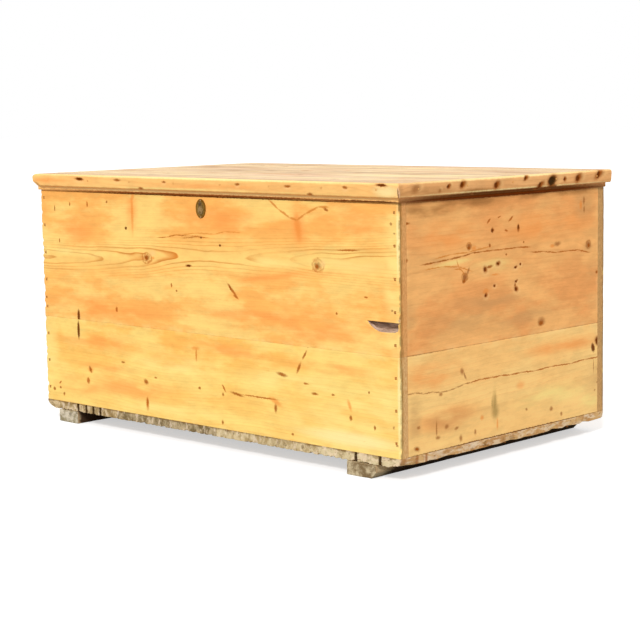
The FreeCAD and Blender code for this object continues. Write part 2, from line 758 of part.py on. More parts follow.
def make_lock_furniture():
    """The stud and guide the bolt runs on, and the ring ward round the keyhole."""
    along = Rotation(Vector(1, 0, 0), -90)
    stud = new_body("lock_stud")
    at = (stud_place, plate_face, f"{bolt_top} - stud_drop")
    reach = "bolt_standoff + bolt_thickness + bolt_play"
    feature(stud, "AdditiveCylinder", "stud_shank", at, along,
            Radius="stud_radius", Height=f"{reach} + stud_head_thickness")
    feature(stud, "AdditiveCylinder", "stud_head",
            (at[0], f"{plate_face} + {reach}", at[2]), along,
            Radius="stud_head_radius", Height="stud_head_thickness")
    node(stud, "lock_stud")

    guide = new_body("bolt_guide")
    middle = f"({bolt_top} - bolt_height / 2)"
    end = "guide_offset + guide_thickness"
    depth = "lock_case_depth - lock_case_wall"
    pad(guide, "guide_block", "YZ", "guide_offset",
        rectangle(plate_face, f"{middle} - guide_height / 2",
                  f"{plate_face} + {depth}", f"{middle} + guide_height / 2"),
        "guide_thickness")
    pocket(guide, "guide_window", "YZ", end,
           rectangle(f"{bolt_front} - bolt_play", f"{middle} - bolt_height / 2 - bolt_play",
                     f"{bolt_front} + bolt_thickness + bolt_play",
                     f"{middle} + bolt_height / 2 + bolt_play"),
           "guide_thickness")
    node(guide, "bolt_guide")

    ward = new_body("key_ward")
    feature(ward, "AdditiveCylinder", "ward_ring", ("0", plate_face, keyhole_height), along,
            Radius="ward_radius", Height="ward_height")
    feature(ward, "SubtractiveCylinder", "ward_bore", ("0", plate_face, keyhole_height), along,
            Radius="ward_radius - ward_thickness", Height="ward_height")
    feature(ward, "SubtractiveBox", "ward_gate",
            ("-keyhole_slot_width / 2 - keyhole_margin", plate_face, f"{keyhole_height} - ward_radius"),
            Length="keyhole_slot_width + 2 * keyhole_margin", Width="ward_height", Height="ward_radius")
    node(ward, "key_ward")


def make_link_plate():
    """The plate let into the lid, with the staple that the bolt passes through."""
    staple_middle = f"({bolt_front} + bolt_thickness / 2)"
    plate_front = f"({staple_middle} - link_plate_width / 2)"
    at = ("link_screw_offset", staple_middle, lid_under)

    def screws(name, play="0"):
        body = screw(name, (f"-{at[0]}", at[1], at[2]), UPWARD, "lock_screw_length", play)
        repeat(body, "X", "2 * link_screw_offset", 2)
        return body

    holes = screws("link_screw_holes", "screw_play")
    plate = new_body("link_plate_blank")
    extent = {"Length": "link_plate_length", "Width": "link_plate_width",
              "Height": "link_plate_thickness"}
    feature(plate, "AdditiveBox", "link_base", ("-link_plate_length / 2", plate_front, lid_under),
            **extent)
    feature(plate, "AdditiveBox", "staple",
            ("staple_offset - staple_thickness / 2", f"{staple_middle} - staple_width / 2",
             f"{lid_under} - staple_length"),
            Length="staple_thickness", Width="staple_width", Height="staple_length")
    feature(plate, "SubtractiveBox", "staple_eye",
            ("staple_offset - staple_thickness / 2", f"{bolt_front} - staple_play",
             f"{bolt_top} - bolt_height - staple_play"),
            Length="staple_thickness", Width="bolt_thickness + 2 * staple_play",
            Height="bolt_height + 2 * staple_play")
    node(carved("link_plate", plate, [holes]), "link_plate")
    node(screws("link_plate_screws"), "link_plate_screws")
    mortise = plank("link_mortise", ("-link_plate_length / 2", plate_front, lid_under),
                    ("link_plate_length", "link_plate_width", "link_plate_thickness"))
    return [holes, mortise]


# --- lid -----------------------------------------------------------------------------

def lid_batten_screws(name, play="0"):
    """Two screws into each lid board through both battens, or their holes."""
    front_screw = f"({lid_front} + lid_front_board_width / 4)"
    body = screw(name, (f"{right_side} - batten_inset - batten_width / 2",
                        f"{inner_front} + 3 * batten_clearance", f"{lid_under} - batten_thickness"),
                 UPWARD, "batten_screw_length", play)
    repeat(body, "Y", "chest_depth - 2 * wall_thickness - 6 * batten_clearance", 6)
    mirror(body, "YZ")
    return body


def moulding_section(outward, sign):
    """The moulding's section; outward is the plane it is fixed to, sign its direction."""
    def out(distance):
        return f"({outward} {sign} ({distance}))"

    reach = "moulding_projection - lip_gap"
    foot = f"({lid_top} - moulding_height)"
    shoulder = f"({foot} + lip_height)"
    inwards = sign == "-"
    lower = f"({reach} - moulding_rake)"
    return [
        (out("0"), foot),
        (out("0"), lid_top),
        (out(f"{reach} - top_arris_radius"), lid_top),
        Arc(out(reach), f"{lid_top} - top_arris_radius", "top_arris_radius",
            out(f"{reach} - top_arris_radius"), f"{lid_top} - top_arris_radius", not inwards),
        (out(lower), f"{shoulder} + lower_arris_radius"),
        Arc(out(f"{lower} - lower_arris_radius"), shoulder, "lower_arris_radius",
            out(f"{lower} - lower_arris_radius"), f"{shoulder} + lower_arris_radius", not inwards),
        (out("lip_thickness"), shoulder),
        (out("lip_thickness"), foot),
    ]


def make_moulding():
    """Moulding round the front and both ends, mitred at the front corners."""
    reach = "(moulding_projection - lip_gap)"
    foot = f"({lid_top} - moulding_height)"
    outer = f"({lid_half_length} + {reach})"
    tip = f"({lid_front} - {reach})"

    front = new_body("front_moulding_blank")
    pad(front, "front_moulding_run", "YZ", f"-{outer}",
        moulding_section(lid_front, "-"), f"2 * {outer}")
    for side, sign in (("left", "-"), ("right", "")):
        pocket(front, f"{side}_mitre", "XY", lid_top,
               [(f"{sign}{lid_half_length}", lid_front), (f"{sign}{outer}", tip),
                (f"{sign}{outer}", lid_front)],
               "moulding_height")

    ends = {}
    for side, sign in (("left", "-"), ("right", "+")):
        direction = "-" if side == "left" else ""
        edge = f"({direction}{lid_half_length})"
        body = new_body(f"{side}_moulding_blank")
        pad(body, f"{side}_moulding_run", "XZ", f"-{lid_back}",
            moulding_section(edge, sign), f"{lid_back} - {tip}")
        pocket(body, f"{side}_moulding_mitre", "XY", lid_top,
               [(edge, tip), (f"{direction}{outer}", tip), (edge, lid_front)],
               "moulding_height")
        pocket(body, f"{side}_lip_end", "YZ", f"{outer}" if side == "right" else edge,
               rectangle(back_face, foot, lid_back, f"{foot} + lip_height"), reach)
        ends[side] = body

    brad_height = f"({lid_top} - lid_thickness / 2)"
    front_brads = nail("front_brads", (f"{left_side} + brad_margin", tip, brad_height),
                       INTO_FRONT, "brad", "brad_length")
    repeat(front_brads, "X", "chest_length - 2 * brad_margin", FRONT_BRADS)
    end_brads = nail("end_brads", (outer, f"{front_face} + brad_margin", brad_height),
                     INTO_RIGHT, "brad", "brad_length")
    repeat(end_brads, "Y", "chest_depth - 2 * brad_margin", END_BRADS)
    mirror(end_brads, "YZ")
    node(front_brads, "front_moulding_brads")
    node(end_brads, "end_moulding_brads")
    node(carved("lid_front_moulding", front, [front_brads]), "lid_front_moulding")
    for side, body in ends.items():
        node(carved(f"lid_{side}_moulding", body, [end_brads]), f"lid_{side}_moulding")
    return [front_brads, end_brads]


def make_lid(hinge_cutters, link_cutters, brads):
    """Three boards edge to edge, held by two battens underneath."""
    batten_holes = lid_batten_screws("batten_screw_holes", "screw_play")
    start = f"(-{lid_half_length})"
    length = f"2 * {lid_half_length}"
    front_joint = f"({lid_front} + lid_front_board_width)"
    back_joint = f"({lid_back} - lid_back_board_width)"
    boards = [
        ("lid_front_board", lid_front, front_joint, [brads[0], brads[1]] + link_cutters),
        ("lid_middle_board", front_joint, back_joint, [brads[1]]),
        ("lid_back_board", back_joint, lid_back, [brads[1]] + hinge_cutters),
    ]
    for name, low, high, cutters in boards:
        blank = plank(name + "_blank", (start, low, lid_under),
                      (length, f"{high} - {low}", "lid_thickness"))
        node(carved(name, blank, [batten_holes] + cutters), name)

    batten_length = "chest_depth - 2 * wall_thickness - 2 * batten_clearance"
    edges = {"left": f"{left_side} + batten_inset",
             "right": f"{right_side} - batten_inset - batten_width"}
    for side, edge in edges.items():
        blank = plank(f"{side}_batten_blank",
                      (edge, f"{inner_front} + batten_clearance", f"{lid_under} - batten_thickness"),
                      ("batten_width", batten_length, "batten_thickness"))
        node(carved(f"lid_{side}_batten", blank, [batten_holes]), f"lid_{side}_batten")
    node(lid_batten_screws("batten_screws"), "batten_screws")


# --- escutcheon ----------------------------------------------------------------------

def make_escutcheon():
    """Oval brass plate pinned over the keyhole, with a cover that swings on a rivet."""
    along = Rotation(Vector(1, 0, 0), -90)
    plate_front = f"({front_face} - escutcheon_thickness)"
    cover_back = f"({plate_front} - cover_gap)"
    cover_front = f"({cover_back} - cover_thickness)"

    oval = doc.addObject("Part::Ellipse", "escutcheon_oval")
    bind(oval, MajorRadius="escutcheon_height / 2", MinorRadius="escutcheon_width / 2")
    place(oval, ("0", plate_front, keyhole_height),
          Rotation(Vector(1, 0, 0), -90) * Rotation(Vector(0, 0, 1), 90))
    blank = doc.addObject("Part::Extrusion", "escutcheon_blank")
    blank.Base = oval
    blank.Dir = Vector(0, 1, 0)
    blank.Solid = True
    bind(blank, LengthFwd="escutcheon_thickness")

    def pins(name, play="0"):
        body = new_body(name)
        feature(body, "AdditiveCylinder", name + "_shank",
                ("0", plate_front, f"{keyhole_height} - escutcheon_pin_offset"), along,
                Radius=f"escutcheon_pin_radius + {play}", Height="escutcheon_pin_length")
        repeat(body, "Z", "2 * escutcheon_pin_offset", 2)
        return body

    def pivot(name, play="0"):
        body = new_body(name)
        feature(body, "AdditiveCylinder", name + "_shank",
                ("0", f"{cover_front} - cover_gap", cover_pivot_height), along,
                Radius=f"cover_pivot_radius + {play}", Height="cover_pivot_length")
        return body

    pin_holes = pins("escutcheon_pin_holes", "pin_play")
    pivot_hole = pivot("cover_pivot_hole", "pin_play")
    keyhole = make_keyhole("escutcheon_keyhole", front_face)
    node(carved("escutcheon_plate", blank, [keyhole, pin_holes, pivot_hole]), "escutcheon_plate")
    node(pins("escutcheon_pins"), "escutcheon_pins")

    rivet = pivot("cover_pivot")
    feature(rivet, "AdditiveCone", "cover_pivot_head",
            ("0", f"{cover_front} - cover_gap - cover_pivot_dome", cover_pivot_height), along,
            Radius1="cover_pivot_radius", Radius2="cover_pivot_head", Height="cover_pivot_dome")
    node(rivet, "cover_pivot")

    cover = new_body("cover_blank")
    lean = "((cover_lobe_radius - cover_eye_radius) / cover_drop)"
    across = f"sqrt(1 - {lean} ^ 2)"
    lobe_height = f"({cover_pivot_height} - cover_drop)"
    pad(cover, "cover_drop_shape", "XZ", f"-{cover_back}",
        [(f"cover_eye_radius * {across}", f"{cover_pivot_height} + cover_eye_radius * {lean}"),
         Arc(f"-cover_eye_radius * {across}", f"{cover_pivot_height} + cover_eye_radius * {lean}",
             "cover_eye_radius", "0", cover_pivot_height, False),
         (f"-cover_lobe_radius * {across}", f"{lobe_height} + cover_lobe_radius * {lean}"),
         Arc(f"cover_lobe_radius * {across}", f"{lobe_height} + cover_lobe_radius * {lean}",
             "cover_lobe_radius", "0", lobe_height, False)],
        "cover_thickness")
    node(carved("keyhole_cover", cover, [pivot_hole]), "keyhole_cover")
    return [pin_holes, pivot_hole]


def main():
    nails = make_nails()
    back_cutters, lid_cutters = make_hinges()
    lock_cutters = make_lock()
    escutcheon_cutters = make_escutcheon()
    make_front(nails, lock_cutters[0], lock_cutters[1:] + escutcheon_cutters)
    make_ends(nails)
    make_back(nails, back_cutters)
    make_bottom(nails)
    make_runners(nails)
    make_lid(lid_cutters, make_link_plate(), make_moulding())
    doc.recompute()

    for item in doc.Objects:
        if "Invalid" in item.State or "Error" in item.State:
            raise RuntimeError(f"{item.Name} ({item.Label}) did not build: {item.State}")
    os.makedirs("parts", exist_ok=True)
    for item in nodes:
        if item.Shape.isNull() or not item.Shape.isValid() or not item.Shape.Solids:
            raise RuntimeError(f"{item.Label} has no sound solid")
        item.Shape.exportStep(f"parts/{item.Label}.step")
        print(item.Label, len(item.Shape.Solids), round(item.Shape.Volume / 1000, 1), "cm3")


main()
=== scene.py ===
import math
import random

import bmesh
import bpy
import numpy as np
from mathutils import Matrix, Vector, noise


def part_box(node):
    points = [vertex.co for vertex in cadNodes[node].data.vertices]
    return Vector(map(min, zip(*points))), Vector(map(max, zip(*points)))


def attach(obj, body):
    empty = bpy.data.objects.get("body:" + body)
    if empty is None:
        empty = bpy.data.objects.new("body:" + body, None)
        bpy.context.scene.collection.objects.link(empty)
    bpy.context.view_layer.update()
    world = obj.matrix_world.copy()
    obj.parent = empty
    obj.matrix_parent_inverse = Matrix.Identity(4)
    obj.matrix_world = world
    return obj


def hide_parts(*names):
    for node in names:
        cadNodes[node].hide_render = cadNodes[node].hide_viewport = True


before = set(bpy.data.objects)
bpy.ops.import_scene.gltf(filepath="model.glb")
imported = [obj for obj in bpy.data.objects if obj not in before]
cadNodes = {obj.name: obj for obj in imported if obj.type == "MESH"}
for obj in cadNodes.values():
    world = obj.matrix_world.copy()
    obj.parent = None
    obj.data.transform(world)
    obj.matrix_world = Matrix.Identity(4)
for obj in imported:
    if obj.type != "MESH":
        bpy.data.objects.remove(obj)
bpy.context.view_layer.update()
mm = 0.001
print("frame loaded")


# shader building blocks

def feed(tree, value, socket):
    if isinstance(value, bpy.types.NodeSocket):
        tree.links.new(value, socket)
    else:
        socket.default_value = value


def put(tree, kind, inputs=None, **settings):
    item = tree.nodes.new(kind)
    for name, value in settings.items():
        setattr(item, name, value)
    for key, value in (inputs or {}).items():
        feed(tree, value, item.inputs[key])
    return item


def calc(tree, operation, *values):
    return put(tree, "ShaderNodeMath", dict(enumerate(values)), operation=operation).outputs[0]


def plus(tree, first, second):
    return calc(tree, "ADD", first, second)


def minus(tree, first, second):
    return calc(tree, "SUBTRACT", first, second)


def times(tree, first, second):
    return calc(tree, "MULTIPLY", first, second)


def bell(tree, value, falloff):
    # 1 where the value is nought, fading to both sides
    return calc(tree, "EXPONENT", times(tree, times(tree, value, value), falloff))


def vector(tree, operation, *values):
    item = put(tree, "ShaderNodeVectorMath", dict(enumerate(values)), operation=operation)
    return item.outputs["Value" if operation == "LENGTH" else "Vector"]


def remap(tree, value, low, high, toLow=0.0, toHigh=1.0):
    inputs = {0: value, 1: low, 2: high, 3: toLow, 4: toHigh}
    return put(tree, "ShaderNodeMapRange", inputs, interpolation_type="SMOOTHSTEP").outputs[0]


def mixed(tree, factor, under, over, mode="MIX"):
    inputs = {0: factor, 6: under, 7: over}
    return put(tree, "ShaderNodeMix", inputs, data_type="RGBA", blend_type=mode).outputs[2]


def cloud(tree, place, stretch, detail=2.0, rough=0.5):
    scaled = vector(tree, "MULTIPLY", place, stretch)
    inputs = {"Vector": scaled, "Scale": 1.0, "Detail": detail, "Roughness": rough}
    return put(tree, "ShaderNodeTexNoise", inputs).outputs[0]


def drift(tree, place, stretch, detail=2.0, rough=0.5):
    # the same noise, centred on nought
    return minus(tree, cloud(tree, place, stretch, detail, rough), 0.5)


def paint(red, green, blue):
    # a colour as it looks on screen, 0 to 255, as the shader wants it
    steps = [c / 255 for c in (red, green, blue)]
    return tuple(c / 12.92 if c <= 0.04045 else ((c + 0.055) / 1.055) ** 2.4 for c in steps) + (1.0,)


def newMaterial(name):
    material = bpy.data.materials.new(name)
    material.use_nodes = True
    material.node_tree.nodes.clear()
    return material


def surfaced(material, shader):
    # the material, with the shader led to its surface
    tree = material.node_tree
    feed(tree, shader, put(tree, "ShaderNodeOutputMaterial").inputs[0])
    return material


def newGroup(name, inputs, outputs):
    group = bpy.data.node_groups.new(name, "ShaderNodeTree")
    for label, kind in inputs.items():
        group.interface.new_socket(label, in_out="INPUT", socket_type=kind)
    for label, kind in outputs.items():
        group.interface.new_socket(label, in_out="OUTPUT", socket_type=kind)
    return group, put(group, "NodeGroupInput").outputs, put(group, "NodeGroupOutput").inputs


# pine: growth rings round a wandering pith, so that face, edge and end grain agree

def makePineGroup():
    inputs = {"Place": "NodeSocketVector"}
    for label in ("Pith across", "Pith depth", "Lean", "Rise", "Ring width", "Swell", "Seed", "Contrast",
                  "Heart band"):
        inputs[label] = "NodeSocketFloat"
    for label in ("Early", "Warm", "Late"):
        inputs[label] = "NodeSocketColor"
    outputs = {"Colour": "NodeSocketColor", "Height": "NodeSocketFloat"}
    group, given, result = newGroup("old pine", inputs, outputs)
    seed = given["Seed"]
    offsets = {0: times(group, seed, 3.17), 1: times(group, seed, 1.71), 2: times(group, seed, 0.93)}
    shift = put(group, "ShaderNodeCombineXYZ", offsets).outputs[0]
    place = vector(group, "ADD", given["Place"], shift)
    own = put(group, "ShaderNodeSeparateXYZ", {0: given["Place"]}).outputs

    # how far each spot lies from the pith, which wanders, leans and rises along the board
    wander = times(group, drift(group, place, (1.7, 2.0, 2.0), 1.0), 0.07)
    rise = times(group, drift(group, place, (2.6, 1.0, 1.0), 1.0), given["Rise"])
    ripple = times(group, drift(group, place, (9, 40, 40)), 0.005)
    pith = plus(group, times(group, own[0], given["Lean"]), given["Pith across"])
    across = minus(group, minus(group, own[1], pith), wander)
    depth = minus(group, minus(group, own[2], given["Pith depth"]), rise)
    radius = calc(group, "SQRT", plus(group, times(group, across, across), times(group, depth, depth)))
    radius = plus(group, plus(group, radius, given["Swell"]), ripple)

    # the late wood is a line at the end of each year's ring, and the years aren't even
    phase = calc(group, "DIVIDE", radius, given["Ring width"])
    uneven = put(group, "ShaderNodeTexNoise", {"W": phase, "Scale": 0.45, "Detail": 1.0},
                 noise_dimensions="1D").outputs[0]
    phase = plus(group, phase, times(group, uneven, 1.3))
    step = calc(group, "FRACT", phase)
    line = times(group, remap(group, step, 0.60, 0.92), remap(group, step, 0.93, 1.0, 1.0, 0.0))

    # the rings show best where the saw ran near the heart, and fade above and below
    heart = bell(group, calc(group, "DIVIDE", across, given["Heart band"]), -1.0)
    patchy = remap(group, cloud(group, place, (3, 22, 22)), 0.34, 0.62, 0.25, 1.0)
    fading = plus(group, times(group, heart, 0.93), 0.07)
    strength = times(group, times(group, patchy, given["Contrast"]), fading)
    drawn = times(group, line, strength)

    blotch = remap(group, cloud(group, place, (5, 15, 15), 5.0, 0.6), 0.40, 0.58)
    warmth = times(group, blotch, minus(group, 1.0, times(group, heart, 0.75)))
    ground = mixed(group, warmth, given["Early"], given["Warm"])
    ground = mixed(group, drawn, ground, given["Late"])
    streak = cloud(group, place, (2.4, 75, 75), 3.0, 0.6)
    fibre = cloud(group, place, (16, 950, 950), 1.0)
    mottle = cloud(group, place, (22, 60, 60), 4.0, 0.65)
    shade = plus(group, remap(group, streak, 0.25, 0.75, 0.95, 1.04),
                 times(group, minus(group, fibre, 0.5), 0.08))
    shade = times(group, shade, remap(group, mottle, 0.32, 0.66, 0.93, 1.05))
    grey = put(group, "ShaderNodeCombineXYZ", {0: shade, 1: shade, 2: shade}).outputs[0]
    feed(group, mixed(group, 1.0, ground, grey, "MULTIPLY"), result["Colour"])
    height = plus(group, times(group, line, 0.35), times(group, fibre, 0.5))
    feed(group, plus(group, height, times(group, streak, 0.6)), result["Height"])
    return group


pineGroup = makePineGroup()

# how each kind of mark looks: its colour, how soft its edge is, and how strongly it shows
markKinds = {
    "warm": (paint(252, 154, 76), 1.0, 0.60),
    "pale": (paint(255, 236, 148), 1.0, 0.55),
    "grey": (paint(196, 150, 96), 1.0, 0.50),
    # a brown, for streaks and darker wood, and as painted shadow under the right moulding
    "shade": (paint(166, 112, 60), 1.0, 0.85),
    "bare": (paint(255, 234, 166), 0.9, 0.75),
    "blush": (paint(250, 210, 170), 1.0, 0.80),
    "olive": (paint(150, 124, 66), 1.0, 0.65),
    "halo": (paint(254, 204, 136), 0.9, 0.50),
    # painted shade on the right moulding's lip and below its deepest dent, and dark joint lines at the front
    # run's mitre and the right end's foot
    "dusk": (paint(112, 58, 12), 0.5, 0.92),
    "stain": (paint(238, 140, 58), 0.9, 0.65),
    "vein": (paint(214, 128, 50), 0.7, 0.80),
    "knot": (paint(168, 106, 54), 0.9, 0.80),
    "scratch": (paint(180, 92, 20), 0.6, 0.85),
    "rust": (paint(164, 84, 16), 0.8, 0.88),
    "hole": (paint(108, 48, 2), 0.5, 0.95),
    # near-black, for the base's cracks and the deepest dents, and at the mouldings' lip foot a dark joint
    # with painted shadow
    "gap": (paint(58, 36, 8), 0.5, 0.95),
    # a dark joint line with painted shadow, under the lid's lip
    "seam": (paint(120, 50, 0), 0.7, 0.95),
}

pineLooks = {
    "honey": dict(early=paint(254, 210, 122), warm=paint(254, 182, 96), late=paint(214, 132, 54)),
    "straw": dict(early=paint(254, 215, 123), warm=paint(253, 187, 92), late=paint(232, 156, 70)),
    "amber": dict(early=paint(249, 185, 113), warm=paint(240, 166, 98), late=paint(196, 116, 56)),
    "sand": dict(early=paint(254, 208, 132), warm=paint(252, 190, 114), late=paint(206, 136, 70)),
    "bleached": dict(early=paint(242, 210, 158), warm=paint(210, 158, 106), late=paint(172, 122, 78)),
    "orange": dict(early=paint(255, 200, 122), warm=paint(252, 172, 96), late=paint(220, 136, 66)),
    "tan": dict(early=paint(244, 182, 118), warm=paint(218, 150, 88), late=paint(162, 102, 54)),
    "umber": dict(early=paint(222, 158, 92), warm=paint(206, 140, 78), late=paint(150, 92, 46)),
    "raw": dict(early=paint(226, 186, 128), warm=paint(212, 164, 104), late=paint(168, 116, 66)),
    "weathered": dict(early=paint(214, 194, 154), warm=paint(182, 158, 118), late=paint(118, 94, 66)),
}

# which way a board lies: the axes of length, width and depth into it, and where its face is
faces = {
    "front": dict(axes="XZY", origin=(0, 48, -336.5), signs=(1, 1, 1)),
    "back": dict(axes="XZY", origin=(0, 48, 339.5), signs=(1, 1, -1)),
    "right": dict(axes="YZX", origin=(1.5, 48, 550), signs=(1, 1, -1)),
    "left": dict(axes="YZX", origin=(1.5, 48, -550), signs=(1, 1, 1)),
    "bottom": dict(axes="YXZ", origin=(1.5, 0, 28), signs=(1, 1, 1)),
    "lid": dict(axes="XYZ", origin=(0, 0, 576.3), signs=(1, 1, -1)),
    "lidFront": dict(axes="XZY", origin=(0, 0, -349.5), signs=(1, 1, 1)),
    "lidRight": dict(axes="YZX", origin=(0, 0, 563), signs=(1, 1, -1)),
    "lidLeft": dict(axes="YZX", origin=(0, 0, -563), signs=(1, 1, 1)),
}


def placeOn(tree, face):
    # board coordinates in metres: along, across, and in from the face
    spots = put(tree, "ShaderNodeTexCoord").outputs["Object"]
    parts = put(tree, "ShaderNodeSeparateXYZ", {0: spots}).outputs
    side = faces[face]
    values = []
    for axis, origin, sign in zip(side["axes"], side["origin"], side["signs"]):
        fromFace = minus(tree, parts["XYZ".index(axis)], origin * mm)
        values.append(times(tree, fromFace, sign))
    return put(tree, "ShaderNodeCombineXYZ", dict(enumerate(values))).outputs[0], values


def boardExtent(node, face):
    low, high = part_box(node)
    side = faces[face]
    ends = []
    for axis, origin, sign in zip(side["axes"], side["origin"], side["signs"]):
        pair = [sign * (corner["XYZ".index(axis)] - origin * mm) for corner in (low, high)]
        ends.append((min(pair), max(pair)))
    return ends


def ellipse(tree, place, along, across, width, height, turn=0.0):
    # 1 on the edge of an ellipse drawn through the wood, less inside it
    slant = math.radians(turn)
    if abs(math.cos(slant)) * width < 1:
        width, height, slant = height, width, 0.0
    if abs(math.sin(slant)) * width < 1:
        # too little turn to be seen
        stretch = (1 / (width * mm), 1 / (height * mm), 0.0)
        offset = (-along / width, -across / height, 0.0)
        return vector(tree, "LENGTH", vector(tree, "MULTIPLY_ADD", place, stretch, offset))
    inputs = {"Vector": place, "Location": (along * mm, across * mm, 0.0),
              "Rotation": (0.0, 0.0, slant), "Scale": (width * mm, height * mm, 1000.0)}
    local = put(tree, "ShaderNodeMapping", inputs, vector_type="TEXTURE").outputs[0]
    return vector(tree, "LENGTH", local)


def addMarks(tree, colour, height, place, inward, marks):
    onFace = remap(tree, inward, 0.0035, 0.0055, 1.0, 0.0)  # marks stay near the face
    inputs = {"Vector": place, "Scale": 260.0, "Detail": 2.0}
    jitter = put(tree, "ShaderNodeTexNoise", inputs).outputs["Color"]
    centred = vector(tree, "SUBTRACT", jitter, (0.5, 0.5, 0.5))
    shaken = vector(tree, "MULTIPLY_ADD", centred, (0.004, 0.004, 0.0), place)
    for kind, (ink, soft, strength) in markKinds.items():
        chosen = [mark[1:] for mark in marks if mark[0] == kind]
        if not chosen:
            continue
        nearest = None
        spread = 0.7 if kind in ("vein", "scratch", "rust", "hole") else 0.0
        for along, across, long, tall, *turn in chosen:
            distance = ellipse(tree, shaken, along, across, long + spread, tall + spread, *turn)
            nearest = distance if nearest is None else calc(tree, "MINIMUM", nearest, distance)
        mask = times(tree, onFace, remap(tree, nearest, 1.0 - 0.8 * soft, 1.0 + 0.5 * soft, strength, 0.0))
        if kind in ("warm", "pale", "grey", "shade", "blush"):
            broken = remap(tree, cloud(tree, place, (9, 34, 34), 3.0), 0.34, 0.60, 0.2, 1.0)
            mask = times(tree, mask, broken)
        colour = mixed(tree, mask, colour, ink)
        if kind in ("hole", "scratch", "rust"):
            height = minus(tree, height, times(tree, mask, 2.5 if kind == "hole" else 1.2))
    return colour, height


knotTones = dict(body=paint(220, 146, 76), core=paint(150, 76, 22), rim=paint(196, 116, 46))


def drawKnots(tree, colour, place, gap, early):
    # a ragged disc, darker in its core and round its rim
    gap = plus(tree, gap, times(tree, drift(tree, place, (90, 90, 90)), 0.9))
    patch = cloud(tree, place, (110, 110, 110))
    body = mixed(tree, remap(tree, patch, 0.40, 0.58), early, knotTones["body"])
    core = plus(tree, gap, times(tree, minus(tree, patch, 0.5), 1.6))
    body = mixed(tree, remap(tree, core, 0.30, 0.66, 0.95, 0.0), body, knotTones["core"])
    colour = mixed(tree, remap(tree, gap, 0.8, 1.15, 0.85, 0.0), colour, body)
    rim = times(tree, remap(tree, gap, 0.72, 0.92), remap(tree, gap, 0.95, 1.2, 1.0, 0.0))
    return mixed(tree, times(tree, rim, 0.6), colour, knotTones["rim"])


def endGrain(tree, place, inward, ends, grain, soot):
    # end grain drinks in the dirt; on the bottom boards the same darkening, along the top of their end grain,
    # is painted shadow under the boards above. The tuple gives its strength, where it is dark, where it is
    # clean, and its colour
    tone = mixed(tree, remap(tree, cloud(tree, place, grain, 4.0, 0.7), 0.38, 0.62), *ends)
    if soot:
        strength, dark, clean, sootAndShadeTone = soot
        creep = calc(tree, "MULTIPLY_ADD", drift(tree, place, (34, 34, 120), 4.0, 0.65), 0.012, inward)
        tone = mixed(tree, remap(tree, creep, clean * mm, dark * mm, 0.0, strength), tone, sootAndShadeTone)
    return tone


hollowTones = (paint(206, 176, 154), paint(160, 130, 110))


def hollowed(tree, colour, place, inward, endGap, spot):
    # bare grey wood inside a cut hollow, though not on the face or on the board's end
    within = remap(tree, ellipse(tree, place, *spot), 0.95, 1.0, 1.0, 0.0)
    sunk = times(tree, within, remap(tree, inward, 0.0006, 0.0016))
    sunk = times(tree, sunk, remap(tree, endGap, 0.0004, 0.002))
    streaky = remap(tree, cloud(tree, place, (40, 200, 200), 3.0), 0.4, 0.6)
    return mixed(tree, sunk, colour, mixed(tree, streaky, *hollowTones))


# rubbed and dirt are the wood's own tones; the third is the colour of painted shade
pineTones = dict(rubbed=paint(255, 240, 180), dirt=paint(168, 104, 48), gloom=paint(64, 44, 30))
